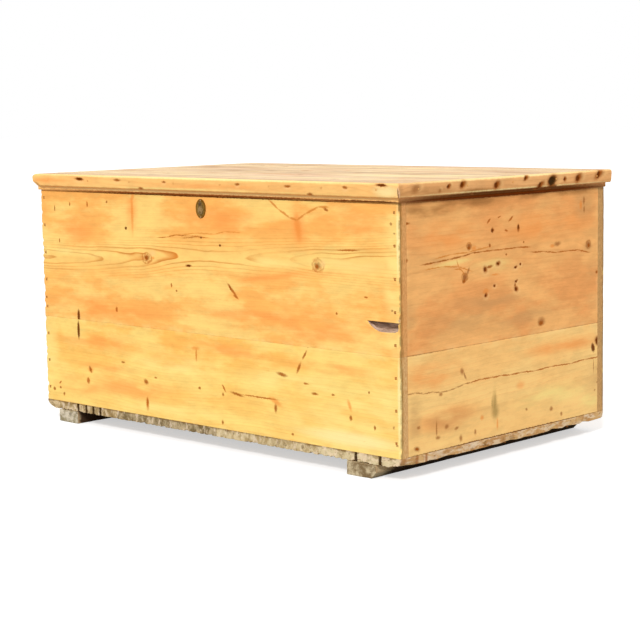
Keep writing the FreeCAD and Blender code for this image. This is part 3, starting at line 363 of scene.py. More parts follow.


# lengths in mm: across and depth place the pith, crown says where, how long and how much it shifts, and
# the painted shade under the chest where it starts, where it is full and how strong it is
def pineMaterial(name, node, face, look="honey", across=0, depth=30, lean=0.0, rise=40, ring=6.5, seed=0.0,
                 contrast=0.75, band=60, knots=(), hollows=(), marks=(), inside="raw", finish=0.5,
                 endShade=0.85, rubbed=0.35, dirty=0.45, ends=(paint(232, 168, 104), paint(206, 142, 84)),
                 soot=None, gloom=None, crown=None, patches=(), grain=(60, 120, 400), deepMarks=False,
                 sheen=0.015):
    material = newMaterial(name)
    tree = material.node_tree
    place, (along, width, inward) = placeOn(tree, face)
    tones = pineLooks[look]

    # branches: the rings swell round them, and a knot shows in their middle
    swell = 0.0
    knotGap = None
    for knotAt in knots:
        gap = ellipse(tree, place, *knotAt)
        swell = calc(tree, "MULTIPLY_ADD", bell(tree, gap, -0.12), -0.5 * ring * mm, swell)
        knotGap = gap if knotGap is None else calc(tree, "MINIMUM", knotGap, gap)

    pithDepth = depth * mm
    if crown:
        # the heart lies deepest at one place along the board, so the rings show as nested points
        at, length, extra = crown
        off = calc(tree, "DIVIDE", minus(tree, along, at * mm), length * mm)
        pithDepth = calc(tree, "MULTIPLY_ADD", bell(tree, off, -1.0), extra * mm, depth * mm)
    rings = put(tree, "ShaderNodeGroup", node_tree=pineGroup)
    values = {"Place": place, "Pith across": across * mm, "Pith depth": pithDepth, "Lean": lean,
              "Rise": rise * mm, "Ring width": ring * mm, "Swell": swell, "Seed": seed,
              "Contrast": contrast, "Heart band": band * mm,
              "Early": tones["early"], "Warm": tones["warm"], "Late": tones["late"]}
    for label, value in values.items():
        feed(tree, value, rings.inputs[label])
    colour, height = rings.outputs["Colour"], rings.outputs["Height"]
    if knotGap is not None:
        colour = drawKnots(tree, colour, place, knotGap, tones["early"])

    # the side turned away from the polish is paler and drier
    extent = boardExtent(node, face)
    middle = (extent[2][0] + extent[2][1]) / 2
    dry = pineLooks[inside]
    hidden = remap(tree, inward, middle - 0.002, middle + 0.002, 0.0, 0.65)
    colour = mixed(tree, hidden, colour, mixed(tree, 0.35, dry["early"], dry["warm"]))

    # nearness to the board's own edges: rubbed pale, then dirt in the joint itself
    gaps = []
    for value, (low, high) in ((along, extent[0]), (width, extent[1])):
        gaps.append(calc(tree, "MINIMUM", minus(tree, value, low), minus(tree, high, value)))
    edge = calc(tree, "MINIMUM", *gaps)
    rub = times(tree, remap(tree, edge, 0.0, 0.012, rubbed, 0.0),
                remap(tree, cloud(tree, place, (30, 30, 30), 3.0), 0.42, 0.62))
    colour = mixed(tree, rub, colour, mixed(tree, 0.3, tones["early"], pineTones["rubbed"]))
    dirt = times(tree, remap(tree, edge, 0.0002, 0.0016, dirty, 0.0),
                 remap(tree, cloud(tree, place, (45, 45, 45)), 0.35, 0.6, 0.2, 1.0))
    colour = mixed(tree, dirt, colour, pineTones["dirt"])

    endTone = endGrain(tree, place, inward, ends, grain, soot)
    colour = mixed(tree, remap(tree, gaps[0], 0.0002, 0.0016, endShade, 0.0), colour, endTone)
    for tone, stretch, low, high, strength in patches:
        patch = remap(tree, cloud(tree, place, stretch, 4.0, 0.65), low, high, 0.0, strength)
        colour = mixed(tree, times(tree, patch, remap(tree, edge, 0.002, 0.014, 1.0, 0.0)), colour, tone)
    for hollowAt in hollows:
        colour = hollowed(tree, colour, place, inward, gaps[0], hollowAt)
    if gloom:
        # painted shade on a runner's side under the chest, deeper further along the board
        start, full, most = gloom
        reach = minus(tree, along, extent[0][0])
        uneven = calc(tree, "MULTIPLY_ADD", drift(tree, place, (30, 60, 60)), 0.03, reach)
        dark = remap(tree, uneven, start * mm, full * mm, 0.0, most)
        colour = mixed(tree, dark, colour, pineTones["gloom"])
    colour, height = addMarks(tree, colour, height, place, 0.0 if deepMarks else inward, marks)
    pores = remap(tree, cloud(tree, place, (45, 620, 620), 2.0, 0.6), 0.66, 0.74, 0.0, 0.35)
    colour = mixed(tree, pores, colour, tones["late"])

    bump = put(tree, "ShaderNodeBump", {"Strength": 0.5, "Distance": 0.0005, "Height": height}).outputs[0]
    rough = remap(tree, cloud(tree, place, (20, 60, 60)), 0.3, 0.7, finish - 0.06, finish + 0.1)
    inputs = {"Base Color": colour, "Roughness": rough, "Normal": bump, "Specular IOR Level": sheen}
    return surfaced(material, put(tree, "ShaderNodeBsdfPrincipled", inputs).outputs[0])


def metalMaterial(name, base, worn, stain, metallic, rough, grainSize=900, patch=60, tarnishAndShade=(), sheen=0.5):
    material = newMaterial(name)
    tree = material.node_tree
    place = put(tree, "ShaderNodeTexCoord").outputs["Object"]
    big = cloud(tree, place, (patch, patch, patch), 4.0, 0.6)
    fine = cloud(tree, place, (grainSize, grainSize, grainSize), 3.0, 0.6)
    colour = mixed(tree, remap(tree, big, 0.4, 0.62), base, stain)
    colour = mixed(tree, remap(tree, fine, 0.52, 0.72, 0.0, 0.6), colour, worn)
    flat = placeOn(tree, "lidFront")[0] if tarnishAndShade else None
    for tone, spot, near, far, strength in tarnishAndShade:
        # strength is reached at the far end of the range, so that a rim can be dark and its middle clean
        colour = mixed(tree, remap(tree, ellipse(tree, flat, *spot), near, far, 0.0, strength), colour, tone)
    height = plus(tree, fine, big)
    bump = put(tree, "ShaderNodeBump", {"Strength": 0.5, "Distance": 0.0002, "Height": height}).outputs[0]
    inputs = {"Base Color": colour, "Metallic": metallic, "Normal": bump, "Specular IOR Level": sheen,
              "Roughness": remap(tree, fine, 0.3, 0.7, rough - 0.1, rough + 0.15)}
    return surfaced(material, put(tree, "ShaderNodeBsdfPrincipled", inputs).outputs[0])


# colours: the metal, where it is rubbed, where it is stained; then how metallic and how rough it is
oldIron = metalMaterial("old iron", paint(74, 62, 54), paint(112, 98, 86), paint(96, 58, 36), 0.45, 0.6)
rustyNail = metalMaterial("rusty nail", paint(206, 142, 76), paint(228, 168, 100), paint(158, 96, 40),
                          0.0, 0.85, 1500, 400, sheen=0.05)
waxedBrad = metalMaterial("waxed brad head", paint(244, 186, 108), paint(250, 200, 124), paint(226, 164, 92),
                          0.0, 0.85, 1500, 400, sheen=0.05)
lockSteel = metalMaterial("filed lock steel", paint(146, 140, 132), paint(184, 178, 168), paint(108, 92, 76),
                          0.85, 0.38)
pinBrass = metalMaterial("pin brass", paint(204, 176, 140), paint(232, 208, 170), paint(150, 116, 76),
                         0.4, 0.4, 700, 300)
darkBronze = metalMaterial("dark bronze", paint(84, 60, 26), paint(120, 92, 48), paint(52, 34, 14),
                           0.4, 0.5, 700, 300)
print("metal finishes made")


# boards: each a close mesh with worn arrises, cut by the joiner's holes of its solid

def cutLines(low, high, cell, extra=()):
    near = (0.0, 0.0006, 0.0014, 0.0026, 0.0042, 0.0065)
    count = max(2, round((high - low - 2 * near[-1]) / cell) + 1)
    lines = [low + step for step in near] + [high - step for step in near]
    lines += list(np.linspace(low + near[-1], high - near[-1], count))
    lines += list(extra)
    return sorted(set(round(line, 6) for line in lines))


def blockMesh(low, high, cells, extra=((), (), ())):
    lines = [cutLines(low[a], high[a], cells[a] * mm, extra[a]) for a in range(3)]
    counts = [len(line) for line in lines]
    verts, seen, quads = [], {}, []

    def vertexAt(spot):
        if spot not in seen:
            seen[spot] = len(verts)
            verts.append(Vector(lines[a][spot[a]] for a in range(3)))
        return seen[spot]

    for axis in range(3):
        b, c = (axis + 1) % 3, (axis + 2) % 3
        for side in (0, counts[axis] - 1):
            for i in range(counts[b] - 1):
                for j in range(counts[c] - 1):
                    ring = [(i, j), (i + 1, j), (i + 1, j + 1), (i, j + 1)]
                    if side == 0:
                        ring.reverse()
                    quad = []
                    for p, q in ring:
                        spot = [0, 0, 0]
                        spot[axis], spot[b], spot[c] = side, p, q
                        quad.append(vertexAt(tuple(spot)))
                    quads.append(quad)
    return verts, quads


def softened(point, low, high, radius):
    core = Vector(min(max(point[a], low[a] + radius), high[a] - radius) for a in range(3))
    out = point - core
    return core + out.normalized() * radius if out.length > 1e-9 else point


def sceneObject(name, data):
    item = bpy.data.objects.new(name, data)
    bpy.context.scene.collection.objects.link(item)
    return item


def meshObject(name, verts, quads, material):
    mesh = bpy.data.meshes.new(name)
    mesh.from_pydata([tuple(v) for v in verts], [], quads)
    mesh.materials.append(material)
    return sceneObject(name, mesh)


def smoothFaces(piece, angle=32):
    mesh = piece.data
    mesh.polygons.foreach_set("use_smooth", [True] * len(mesh.polygons))
    mesh.set_sharp_from_angle(angle=math.radians(angle))


def tidied(piece):
    shape = bmesh.new()
    shape.from_mesh(piece.data)
    bmesh.ops.remove_doubles(shape, verts=shape.verts, dist=1e-7)
    bmesh.ops.recalc_face_normals(shape, faces=shape.faces)
    shape.to_mesh(piece.data)
    shape.free()


def mergedShape(node):
    # the node's solids with the seams of their meshes closed
    shape = bmesh.new()
    shape.from_mesh(cadNodes[node].data)
    bmesh.ops.remove_doubles(shape, verts=shape.verts, dist=1e-6)
    return shape


def applied(piece):
    # the piece with its modifiers turned into plain mesh
    deps = bpy.context.evaluated_depsgraph_get()
    mesh = bpy.data.meshes.new_from_object(piece.evaluated_get(deps))
    piece.modifiers.clear()
    old = piece.data
    piece.data = mesh
    bpy.data.meshes.remove(old)


def cutBy(piece, cutter, operation):
    modifier = piece.modifiers.new("cut", "BOOLEAN")
    modifier.operation = operation
    modifier.solver = "MANIFOLD"
    modifier.object = cutter
    applied(piece)
    bpy.data.objects.remove(cutter)


def trimTo(piece, node):
    # only what lies inside the node's own solid stays
    shape = mergedShape(node)
    mesh = bpy.data.meshes.new(node + " copy")
    shape.to_mesh(mesh)
    shape.free()
    cutBy(piece, sceneObject("cutter", mesh), "INTERSECT")


# how a board wears: lengths in metres, noise in waves per metre
boardWear = dict(skin=0.00004, faceBand=0.001, broad=55, fine=190, hollows=14)


def board(name, node, body, material, cells, arris=(0.8, 3.0), lumps=0.0002, shape=None, extra=((), (), ())):
    low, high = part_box(node)
    verts, quads = blockMesh(low, high, cells, extra)
    skin = Vector((boardWear["skin"],) * 3)
    inLow, inHigh = low + skin, high - skin
    centre = (low + high) / 2
    thin = min(range(3), key=lambda a: high[a] - low[a])
    faceStart = (high[thin] - low[thin]) / 2 - boardWear["faceBand"]
    worn = []
    for point in verts:
        rub = noise.noise(point * boardWear["broad"]) * 0.6 + noise.noise(point * boardWear["fine"]) * 0.4
        radius = (arris[0] + (arris[1] - arris[0]) * max(0.0, rub + 0.25) ** 1.5) * mm
        inner = Vector(min(max(point[a], inLow[a]), inHigh[a]) for a in range(3))
        moved = softened(inner, inLow, inHigh, radius)
        sink = max(0.0, noise.noise(point * boardWear["hollows"] + Vector((7, 3, 1)))) * lumps
        if abs(moved[thin] - centre[thin]) > faceStart:
            moved[thin] -= sink * (1 if moved[thin] > centre[thin] else -1)
        worn.append(shape(moved, point) if shape else moved)
    piece = meshObject(name, worn, quads, material)
    trimTo(piece, node)
    smoothFaces(piece)
    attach(piece, body)
    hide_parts(node)
    return piece


def stroke(kind, tall, *points):
    # a line of marks from point to point
    marks = []
    for (x, y), (nextX, nextY) in zip(points, points[1:]):
        run, rise = nextX - x, nextY - y
        marks.append((kind, x + run / 2, y + rise / 2, math.hypot(run, rise) * 0.56, tall,
                      math.degrees(math.atan2(rise, run))))
    return marks


def wormed(*spots):
    # dark pits with a worn pale rim
    marks = []
    for x, y, long, tall, turn in spots:
        marks += [("halo", x + 1, y - 1.5, long * 1.5 + 2, tall * 1.5 + 2, turn),
                  ("rust", x, y, long, tall, turn),
                  ("hole", x - 1, y - 0.5, long * 0.45, tall * 0.5, turn - 30)]
    return marks


frontUpperMarks = [
    # the dark line along the board's top is painted shadow under the lid's lip
    ("seam", 0, 489.6, 556, 1.5), ("warm", -330, 226, 190, 24), ("warm", 60, 440, 170, 26),
    ("warm", 140, 246, 150, 14), ("warm", 330, 240, 110, 30), ("warm", -420, 400, 60, 30),
    ("warm", 420, 450, 90, 26), ("pale", 536, 340, 22, 160), ("pale", -536, 380, 20, 40),
    ("pale", 200, 360, 90, 10), ("pale", -420, 352, 110, 9), ("pale", 430, 366, 110, 14),
    ("stain", -224, 450, 46, 4.5, 90), ("stain", -222, 482, 12, 5, 60), ("stain", 284, 436, 28, 9, 100),
    ("warm", -226, 452, 50, 18, 88), ("warm", 286, 440, 40, 20, 95), ("rust", 362, 473, 6, 2.5, -20),
    ("scratch", 91, 296, 21, 2.6, -44), ("rust", 84, 302, 8, 1.8, -60), ("scratch", 101, 284, 8, 2.2, -28),
    ("rust", -43, 341, 10, 2.2, 0), ("hole", -43, 341, 6, 1.2, 0), ("warm", -379, 244, 70, 12),
    ("hole", -247, 413, 3.4, 2.6), ("hole", -2, 403, 2.2, 1.6), ("hole", 56, 388.5, 2.6, 2.0),
    ("hole", -423.6, 205, 15, 4.2, 92), ("hole", -425, 187, 9, 3.4, 90), ("scratch", -287, 230, 3.4, 5.5),
    ("rust", -84, 285, 2.4, 1.8), ("rust", 387, 270, 2.6, 1.8), ("scratch", 465, 307, 5, 1.0),
    ("rust", -499, 450, 1.3, 7), ("rust", -443, 461, 1.6, 4), ("rust", -311, 469, 2.2, 2.6),
    ("scratch", -485, 376, 1.3, 5), ("knot", 531, 451, 3.2, 3.0), ("knot", 539, 433, 2.6, 2.2),
    ("knot", 532, 286, 3.0, 2.4), ("bare", 547, 420, 3, 70), ("rust", -541, 241, 2.8, 2.4),
    ("scratch", -380, 462, 2, 6), ("scratch", -100, 296, 2.0, 4.0), ("scratch", 420, 396, 30, 1.2, 2),
    ("warm", 200, 330, 120, 7, 8), ("warm", 457, 366, 80, 13), ("warm", 380, 345, 60, 8),
    ("rust", 335, 360, 5.5, 5.0), ("halo", 352, 366, 7, 9), ("rust", -180, 350, 3.4, 3.0),
    ("stain", -158, 352, 5, 3), ("halo", -160, 362, 12, 7),
]
frontUpperMarks += stroke("scratch", 0.4, (-140, 397), (-112, 399), (-82, 405), (-40, 404), (-3, 406))
frontUpperMarks += stroke("vein", 0.4, (-100, 404), (-62, 407), (-20, 411), (43, 412.5), (70, 418),
                          (119, 418.5))
frontUpperMarks += stroke("scratch", 0.3, (-60, 399), (-20, 403), (20, 404))
frontUpperMarks += stroke("vein", 1.8, (204, 488), (230, 470), (262, 454), (282, 450), (306, 463), (342, 478),
                          (368, 478))
frontLowerMarks = [
    ("warm", -330, 150, 170, 20), ("warm", -250, 55, 180, 22), ("warm", 60, 170, 170, 14),
    ("pale", 400, 40, 190, 60), ("pale", -535, 120, 30, 80), ("pale", 250, 120, 150, 26),
    ("pale", -100, 120, 130, 24), ("warm", 360, 160, 110, 12), ("pale", -120, 22, 200, 14),
    ("warm", -110, 131, 80, 16), ("warm", -420, 44, 90, 20), ("warm", -330, 95, 90, 10),
    ("pale", 465, 66, 100, 60), ("pale", 500, 90, 60, 95), ("pale", 470, 40, 90, 40),
    ("bare", 420, 24, 130, 15), ("bare", 547, 100, 3.5, 105), ("rust", -387, 85, 8, 3.4, 118),
    ("scratch", -396, 58, 5, 7), ("warm", -396, 58, 14, 12), ("rust", -270, 112, 6, 1.6, -8),
    ("rust", -193, 76, 7.5, 5, -25), ("vein", -190, 27, 14, 4.6, 90), ("scratch", -190, 31, 10, 2.6, 90),
    ("stain", -29, 165, 13, 4, 0), ("vein", -26, 151, 13, 2.0, 92), ("rust", -18, 80, 3.6, 2.6),
    ("scratch", 58, 88, 9, 1.8, -52), ("rust", 98, 79, 20, 2.2, -8), ("scratch", 165, 80, 55, 1.0, 1),
    ("stain", 212, 76, 19, 6, -22), ("rust", 212, 62, 9, 3.6, 92), ("rust", 232, 134, 15, 3.4, -7),
    ("rust", 297, 180, 11, 2.2, 56), ("rust", 280, 152, 12, 3.0, 62), ("scratch", 312, 203, 9, 1.0, 50),
    ("rust", 324, 104, 9, 2.0, -5), ("rust", 374, 107, 4, 1.6), ("stain", 418, 91, 12, 4.4, 112),
    ("rust", 421, 66, 3.4, 5), ("rust", 484, 54, 2.2, 4), ("rust", 52, 14, 3.0, 4.4),
    ("rust", -523, 27, 4.4, 3.6), ("hole", -426, 173, 21, 4.0, 91), ("rust", -500, 32, 3.0, 2.2),
    ("rust", -487, 18, 2.8, 3.4), ("scratch", -500, 44, 5, 1.6, 35), ("rust", 55, 74, 3.0, 3.0),
    ("stain", -386, 84, 9, 7), ("scratch", 300, 122, 7, 1.2, 0), ("scratch", -160, 88, 4, 1.2),
    ("rust", 470, 122, 2.0, 2.0), ("rust", 260, 14, 3, 2), ("knot", 533, 60, 2.6, 3.4),
    ("knot", 541, 26, 3.2, 2.6), ("knot", -547, 122, 2.6, 3.0),
]
endUpperMarks = [
    # the dark line and the three brown marks at the top are painted shadow under the right moulding's lip
    ("seam", 0, 490.0, 340, 2.2), ("shade", -140, 483, 190, 13), ("shade", 150, 486, 190, 8),
    ("shade", -250, 474, 90, 14), ("grey", 297, 246, 22, 16), ("grey", -288, 378, 34, 16),
    ("grey", -310, 270, 24, 30), ("grey", 262, 456, 34, 30), ("grey", -240, 372, 30, 9),
    ("grey", 300, 320, 24, 20), ("grey", -60, 280, 120, 18), ("warm", 120, 420, 160, 30),
    ("warm", -200, 420, 90, 30), ("pale", -50, 350, 60, 14), ("pale", -180, 366, 60, 6, 4),
    ("grey", -110, 250, 150, 26), ("grey", 60, 236, 150, 16), ("knot", -127, 394.5, 6, 8, 80),
    ("rust", -128, 391, 4, 3.4), ("stain", -112, 390, 8, 5), ("knot", -140, 335, 9, 8, 70),
    ("rust", -144, 327, 5, 3.6, 20), ("knot", -130, 346, 8, 3, 60), ("knot", 279, 370, 9, 10, 80),
    ("grey", 279, 370, 16, 16), ("rust", 281, 368, 3.4, 4), ("knot", 168, 379, 12, 5, 6),
    ("stain", 150, 376, 8, 4), ("rust", 311, 308, 3.6, 3.0), ("rust", -314, 451, 8, 1.8, 6),
    ("rust", -318, 381, 6, 3.4, 4), ("knot", 112, 221, 9, 13, 90), ("rust", 110, 217, 5, 8, 90),
    ("knot", 263, 465, 4, 9), ("knot", 264, 446, 3, 8), ("stain", 252, 456, 5, 10),
    ("hole", -53, 421, 2.6, 3.6, 20), ("rust", -52, 422, 5, 4.4), ("scratch", -64, 441, 7, 1.8, 40),
    ("scratch", 8, 441, 9, 1.8, 35), ("scratch", -30, 447, 5, 0.8, 20), ("scratch", -7, 418, 5, 1.6, -12),
    ("rust", 33, 421, 4.2, 8, 8), ("hole", 33, 423, 2.2, 4), ("rust", 51, 390.5, 1.8, 1.6),
    ("rust", -7, 370, 2.2, 1.8), ("rust", -61, 392, 2.6, 3.0), ("rust", -62, 349, 11, 2.4, 8),
    ("stain", -45, 332, 12, 2), ("stain", -74, 300, 10, 6), ("rust", 22, 304, 3.0, 5),
]
endUpperMarks += wormed((-34, 353.6, 8, 4.6, 10), (-76, 345, 6.6, 7.5, 40), (40, 346.5, 2.8, 2.2, 20),
                        (24, 341.7, 6, 2.6, 14), (-46, 309.6, 4.2, 2.6, 10), (26, 312.6, 6.4, 2.2, 25),
                        (25.5, 297, 8, 5.6, -25), (-74, 292.6, 5.6, 4.4, 15))
endUpperMarks += stroke("rust", 1.0, (-271, 369), (-228, 371), (-187, 373.5), (-149, 376.5), (-119, 380),
                        (-89, 381.5))
endUpperMarks += stroke("scratch", 0.9, (-89, 381.5), (-50, 381), (-19, 380.5), (30, 381.5), (72, 379.5))
endUpperMarks += stroke("scratch", 0.8, (79, 368), (120, 366), (168, 360.5), (206, 362), (244, 360.5),
                        (282, 353))
endUpperMarks += stroke("vein", 0.7, (-262, 359), (-210, 361), (-160, 357), (-120, 345))
endUpperMarks += stroke("vein", 0.7, (-230, 378), (-180, 383), (-130, 383), (-60, 390))
endUpperMarks += stroke("vein", 0.8, (-172, 353), (-152, 351), (-140, 338))
endUpperMarks += stroke("vein", 0.7, (-165, 369), (-160, 356), (-146, 345))
endLowerMarks = [
    ("pale", 150, 60, 120, 22), ("warm", -240, 150, 90, 26), ("warm", 190, 160, 130, 14),
    ("warm", -200, 60, 90, 24), ("grey", 300, 76, 34, 40), ("grey", -296, 66, 20, 50),
    ("grey", -215, 60, 50, 16), ("pale", 290, 30, 40, 20), ("dusk", 0, 0.2, 340, 2.2),
    ("rust", 318, 157, 10, 13, 60), ("hole", 318, 156, 8, 11, 60), ("hole", 299, 144, 6, 10, 20),
    ("olive", -47, 66, 30, 8, 90), ("olive", -45, 52, 16, 12, 90), ("olive", -44, 74, 20, 3, 88),
    ("olive", -55, 70, 16, 2.4, 92), ("knot", -151, 148, 7, 6, 110), ("knot", -142, 138, 9, 2.6, 120),
    ("knot", 147, 31, 6, 5), ("knot", 183, 15, 4.4, 5), ("knot", -285, 54.5, 5.4, 3.6),
    ("knot", -231, 44, 16, 2.4, 92), ("knot", -227, 26, 7, 4), ("knot", -200, 44, 6, 5),
    ("knot", -169, 36.5, 7, 3.0, 12), ("rust", -290, 13, 5, 2.6, -20), ("knot", -290, 13, 9, 5, -20),
    ("knot", -156, 14, 5, 7), ("knot", 318, 95, 3.6, 3.6), ("knot", 301, 104, 16, 1.4, 92),
    ("grey", -190, 56, 70, 22), ("knot", 306, 50, 2.6, 2.6), ("stain", -88, 46, 6, 5),
    ("stain", -38, 26, 3, 12), ("knot", -110, 20, 4, 6), ("knot", 60, 42, 4, 3, -30),
    ("knot", 316, 66, 5, 1.6), ("knot", -265, 198, 80, 2.2), ("warm", 40, 96, 14, 8),
    ("knot", -217, 111, 6, 4),
]
endLowerMarks += stroke("knot", 1.5, (-324, 123), (-296, 124), (-271, 119.5), (-240, 118), (-217, 114.5),
                        (-190, 115), (-170, 117.5), (-146, 121.5), (-122, 122.5))
endLowerMarks += stroke("scratch", 1.0, (-122, 122.5), (-91, 124.5), (-58, 123), (-26, 124), (8, 121),
                        (41, 122))
endLowerMarks += stroke("scratch", 0.8, (41, 122), (90, 119), (145, 121.5), (217, 119), (270, 122),
                        (329, 121))


def scattered(seed, width, height, low=0.0, count=14):
    # a few plain marks for a board whose own marks aren't known
    dice = random.Random(seed)
    marks = []
    for number in range(count):
        kind = dice.choice(("rust", "scratch", "stain", "warm", "pale", "rust"))
        size = 3.0 if kind in ("rust", "scratch") else 9.0
        long = dice.uniform(0.6, 1.6) * size * (12 if kind in ("warm", "pale") else 1)
        spot = (dice.uniform(-width / 2, width / 2), low + dice.uniform(0.08, 0.92) * height)
        tall, turn = dice.uniform(0.4, 0.8) * size, dice.choice((0, 0, 8, -12, 90))
        marks.append((kind, *spot, long, tall, 0 if long > 20 else turn))
    return marks


# the carcass in metres: half its length, its front face from the middle, and the underside of its bottom
chest = dict(halfLength=0.55, front=0.3365, underside=0.028)
# how far round the edge the chips reach, how deep they go, and the share of it that goes back
frontChips = dict(reach=0.006, least=0.0006, most=0.0030, back=0.8)


def frontWear(moved, point):
    # the front's two upright edges are chipped and rubbed
    reach = frontChips["reach"]
    for side in (-1, 1):
        gap = chest["halfLength"] - side * point.x
        near = max(0.0, 1 - gap / reach) * max(0.0, 1 - (point.y + chest["front"]) / reach)
        if near > 0:
            broad = noise.noise(Vector((side * 3, 1.5, point.z * 120)))
            fine = noise.noise(Vector((2, side, point.z * 420)))
            rub = near * (frontChips["least"] + frontChips["most"] * max(0.0, broad + 0.7 * fine))
            moved.x -= side * rub
            moved.y += rub * frontChips["back"]
    return moved


def openHold(piece, material):
    # the hand hold's right end is blunt, worn wider than its sawn curve
    outline = [(486, 311.0), (494, 292.4), (504, 290.9), (522, 291.2), (538, 292.2), (545, 294.4), (547, 299),
               (547, 311.0)]
    front, back = -340 * mm, -324.5 * mm
    count = len(outline)
    verts = [Vector((x * mm, y, z * mm)) for y in (front, back) for x, z in outline]
    quads = [(i, (i + 1) % count, count + (i + 1) % count, count + i) for i in range(count)]
    quads += [tuple(reversed(range(count))), tuple(range(count, 2 * count))]
    cutter = meshObject("hold cutter", verts, quads, material)
    tidied(cutter)
    cutBy(piece, cutter, "DIFFERENCE")
    smoothFaces(piece)


def makeCarcass():
    frontCells, endCells, backCells = (9, 12, 4), (12, 9, 6), (9, 12, 7)
    upper = pineMaterial("front upper pine", "front_upper_board", "front", "honey", across=356, depth=-20,
                         lean=0.030, rise=6, ring=4.9, seed=2.3, contrast=1.0, band=36,
                         crown=(42, 330, -19.2), knots=((-179, 351, 16, 12.5), (338, 362.5, 16, 13.5)),
                         hollows=((503, 263, 54, 26),), soot=(0.8, 4, 13, paint(106, 70, 26)), dirty=0.15,
                         marks=frontUpperMarks)
    piece = board("frontUpperBoard", "front_upper_board", "carcass", upper, frontCells, arris=(0.08, 0.8),
                  shape=frontWear)
    openHold(piece, upper)
    lower = pineMaterial("front lower pine", "front_lower_board", "front", "straw", across=-60, depth=-60,
                         rise=30, ring=7.0, seed=5.1, contrast=0.3, band=200,
                         soot=(0.8, 4, 12, paint(110, 74, 30)), dirty=0.1, marks=frontLowerMarks,
                         ends=(paint(226, 184, 128), paint(200, 146, 92)))
    board("frontLowerBoard", "front_lower_board", "carcass", lower, frontCells, arris=(0.08, 0.8),
          shape=frontWear)
    end = pineMaterial("right end upper pine", "right_end_upper_board", "right", "amber", across=372,
                       depth=-30, rise=40, ring=6.5, seed=7.7, contrast=0.2, band=46,
                       knots=((-127, 396, 8, 7), (-141, 334, 10, 9), (281, 370, 9, 9)), marks=endUpperMarks)
    board("rightEndUpperBoard", "right_end_upper_board", "carcass", end, endCells, arris=(0.5, 1.6))
    end = pineMaterial("right end lower pine", "right_end_lower_board", "right", "sand", across=40, depth=-70,
                       rise=30, ring=7.0, seed=9.4, contrast=0.1, band=200, marks=endLowerMarks)
    board("rightEndLowerBoard", "right_end_lower_board", "carcass", end, endCells, arris=(0.5, 1.6))
    for part, low, height, look in (("upper", 197, 306, "amber"), ("lower", 0, 197, "sand")):
        node = f"left_end_{part}_board"
        knots = ((90 - low, low + height * 0.5, 12, 10), (-190, low + height * 0.62, 9, 8))
        wood = pineMaterial(f"left end {part} pine", node, "left", look, across=low + height * 0.55,
                            depth=-34, rise=46, ring=6.5, seed=12.0 + low / 90, contrast=0.6, band=70,
                            knots=knots, marks=scattered(31 + low, 600, height, low))
        board(f"leftEnd{part.title()}Board", node, "carcass", wood, endCells, arris=(0.5, 1.6))
        node = f"back_{part}_board"
        knots = ((-300 + low, low + height * 0.45, 13, 11), (240, low + height * 0.35, 11, 9),
                 (430 - low, low + height * 0.7, 9, 8))
        wood = pineMaterial(f"back {part} pine", node, "back", look, across=low + height * 0.4, depth=-30,
                            rise=50, ring=6.5, seed=15.0 + low / 70, contrast=0.6, band=80, knots=knots,
                            soot=(0.8, 4, 7, paint(146, 118, 84)),
                            ends=(paint(208, 162, 104), paint(176, 134, 84)),
                            marks=scattered(57 + low, 1040, height, low, 20))
        board(f"back{part.title()}Board", node, "carcass", wood, backCells)


makeCarcass()
print("carcass boards made")


# in metres: how far in the wear reaches, how deep it bites, and where the worn front corners start
baseRags = dict(fromFront=0.05, fromEnd=0.03, fromUnder=0.016, teeth=(0.0008, 0.0055), chips=(0.0036, 0.0045),
                inward=0.004, cornerStart=-0.28, cornerReach=0.0565, leftTop=0.048, rightTop=0.040)


def baseWear(moved, point):
    # ragged lower arris along the front and the right side, and the two worn front corners
    half, toFront = chest["halfLength"], point.y + chest["front"]
    front = max(0.0, 1 - toFront / baseRags["fromFront"])
    side = max(0.0, 1 - (half - point.x) / baseRags["fromEnd"])
    low = max(0.0, 1 - (point.z - chest["underside"]) / baseRags["fromUnder"])
    teeth = noise.noise(Vector((point.x * 160, 3.1, 0.4))) + 0.25 * noise.noise(Vector((point.x * 420, 1, 2)))
    chips = noise.noise(Vector((5.2, point.y * 60, 0.4))) + 0.4 * noise.noise(Vector((8, point.y * 210, 2)))
    teeth, chips = max(0.0, teeth), max(0.0, chips)
    moved.z += front * low * (baseRags["teeth"][0] + baseRags["teeth"][1] * teeth)
    moved.z += side * low * (baseRags["chips"][0] + baseRags["chips"][1] * chips)
    moved.x -= side * low * baseRags["inward"] * chips
    if point.y < baseRags["cornerStart"]:
        near = 1 - toFront / baseRags["cornerReach"]
        down = min(1.0, max(0.0, (baseRags["leftTop"] - moved.z) / 0.02))
        moved.x = max(moved.x, -half + (0.004 * down + 0.030 * down ** 3) * near)
        moved.x = min(moved.x, half - max(0.0, baseRags["rightTop"] - moved.z) * 0.9 * near)
    return moved


cracks = dict(at=(-436.4, -407, -381.5, -356.4, 433, 496.5), halfWidth=0.0013, depth=0.014, behind=-0.31)
baseEnds = {1: (paint(214, 190, 148), paint(154, 128, 84)), 2: (paint(188, 168, 132), paint(126, 108, 74)),
            3: (paint(216, 196, 154), paint(176, 152, 108)), 4: (paint(218, 200, 158), paint(176, 154, 112))}


def crackedBase(moved, point):
    moved = baseWear(moved, point)
    for spot in cracks["at"]:
        if abs(point.x - spot * mm) < cracks["halfWidth"] and point.y < cracks["behind"]:
            moved.y += max(0.0, cracks["depth"] - (point.y + chest["front"])) * 0.9
    return moved


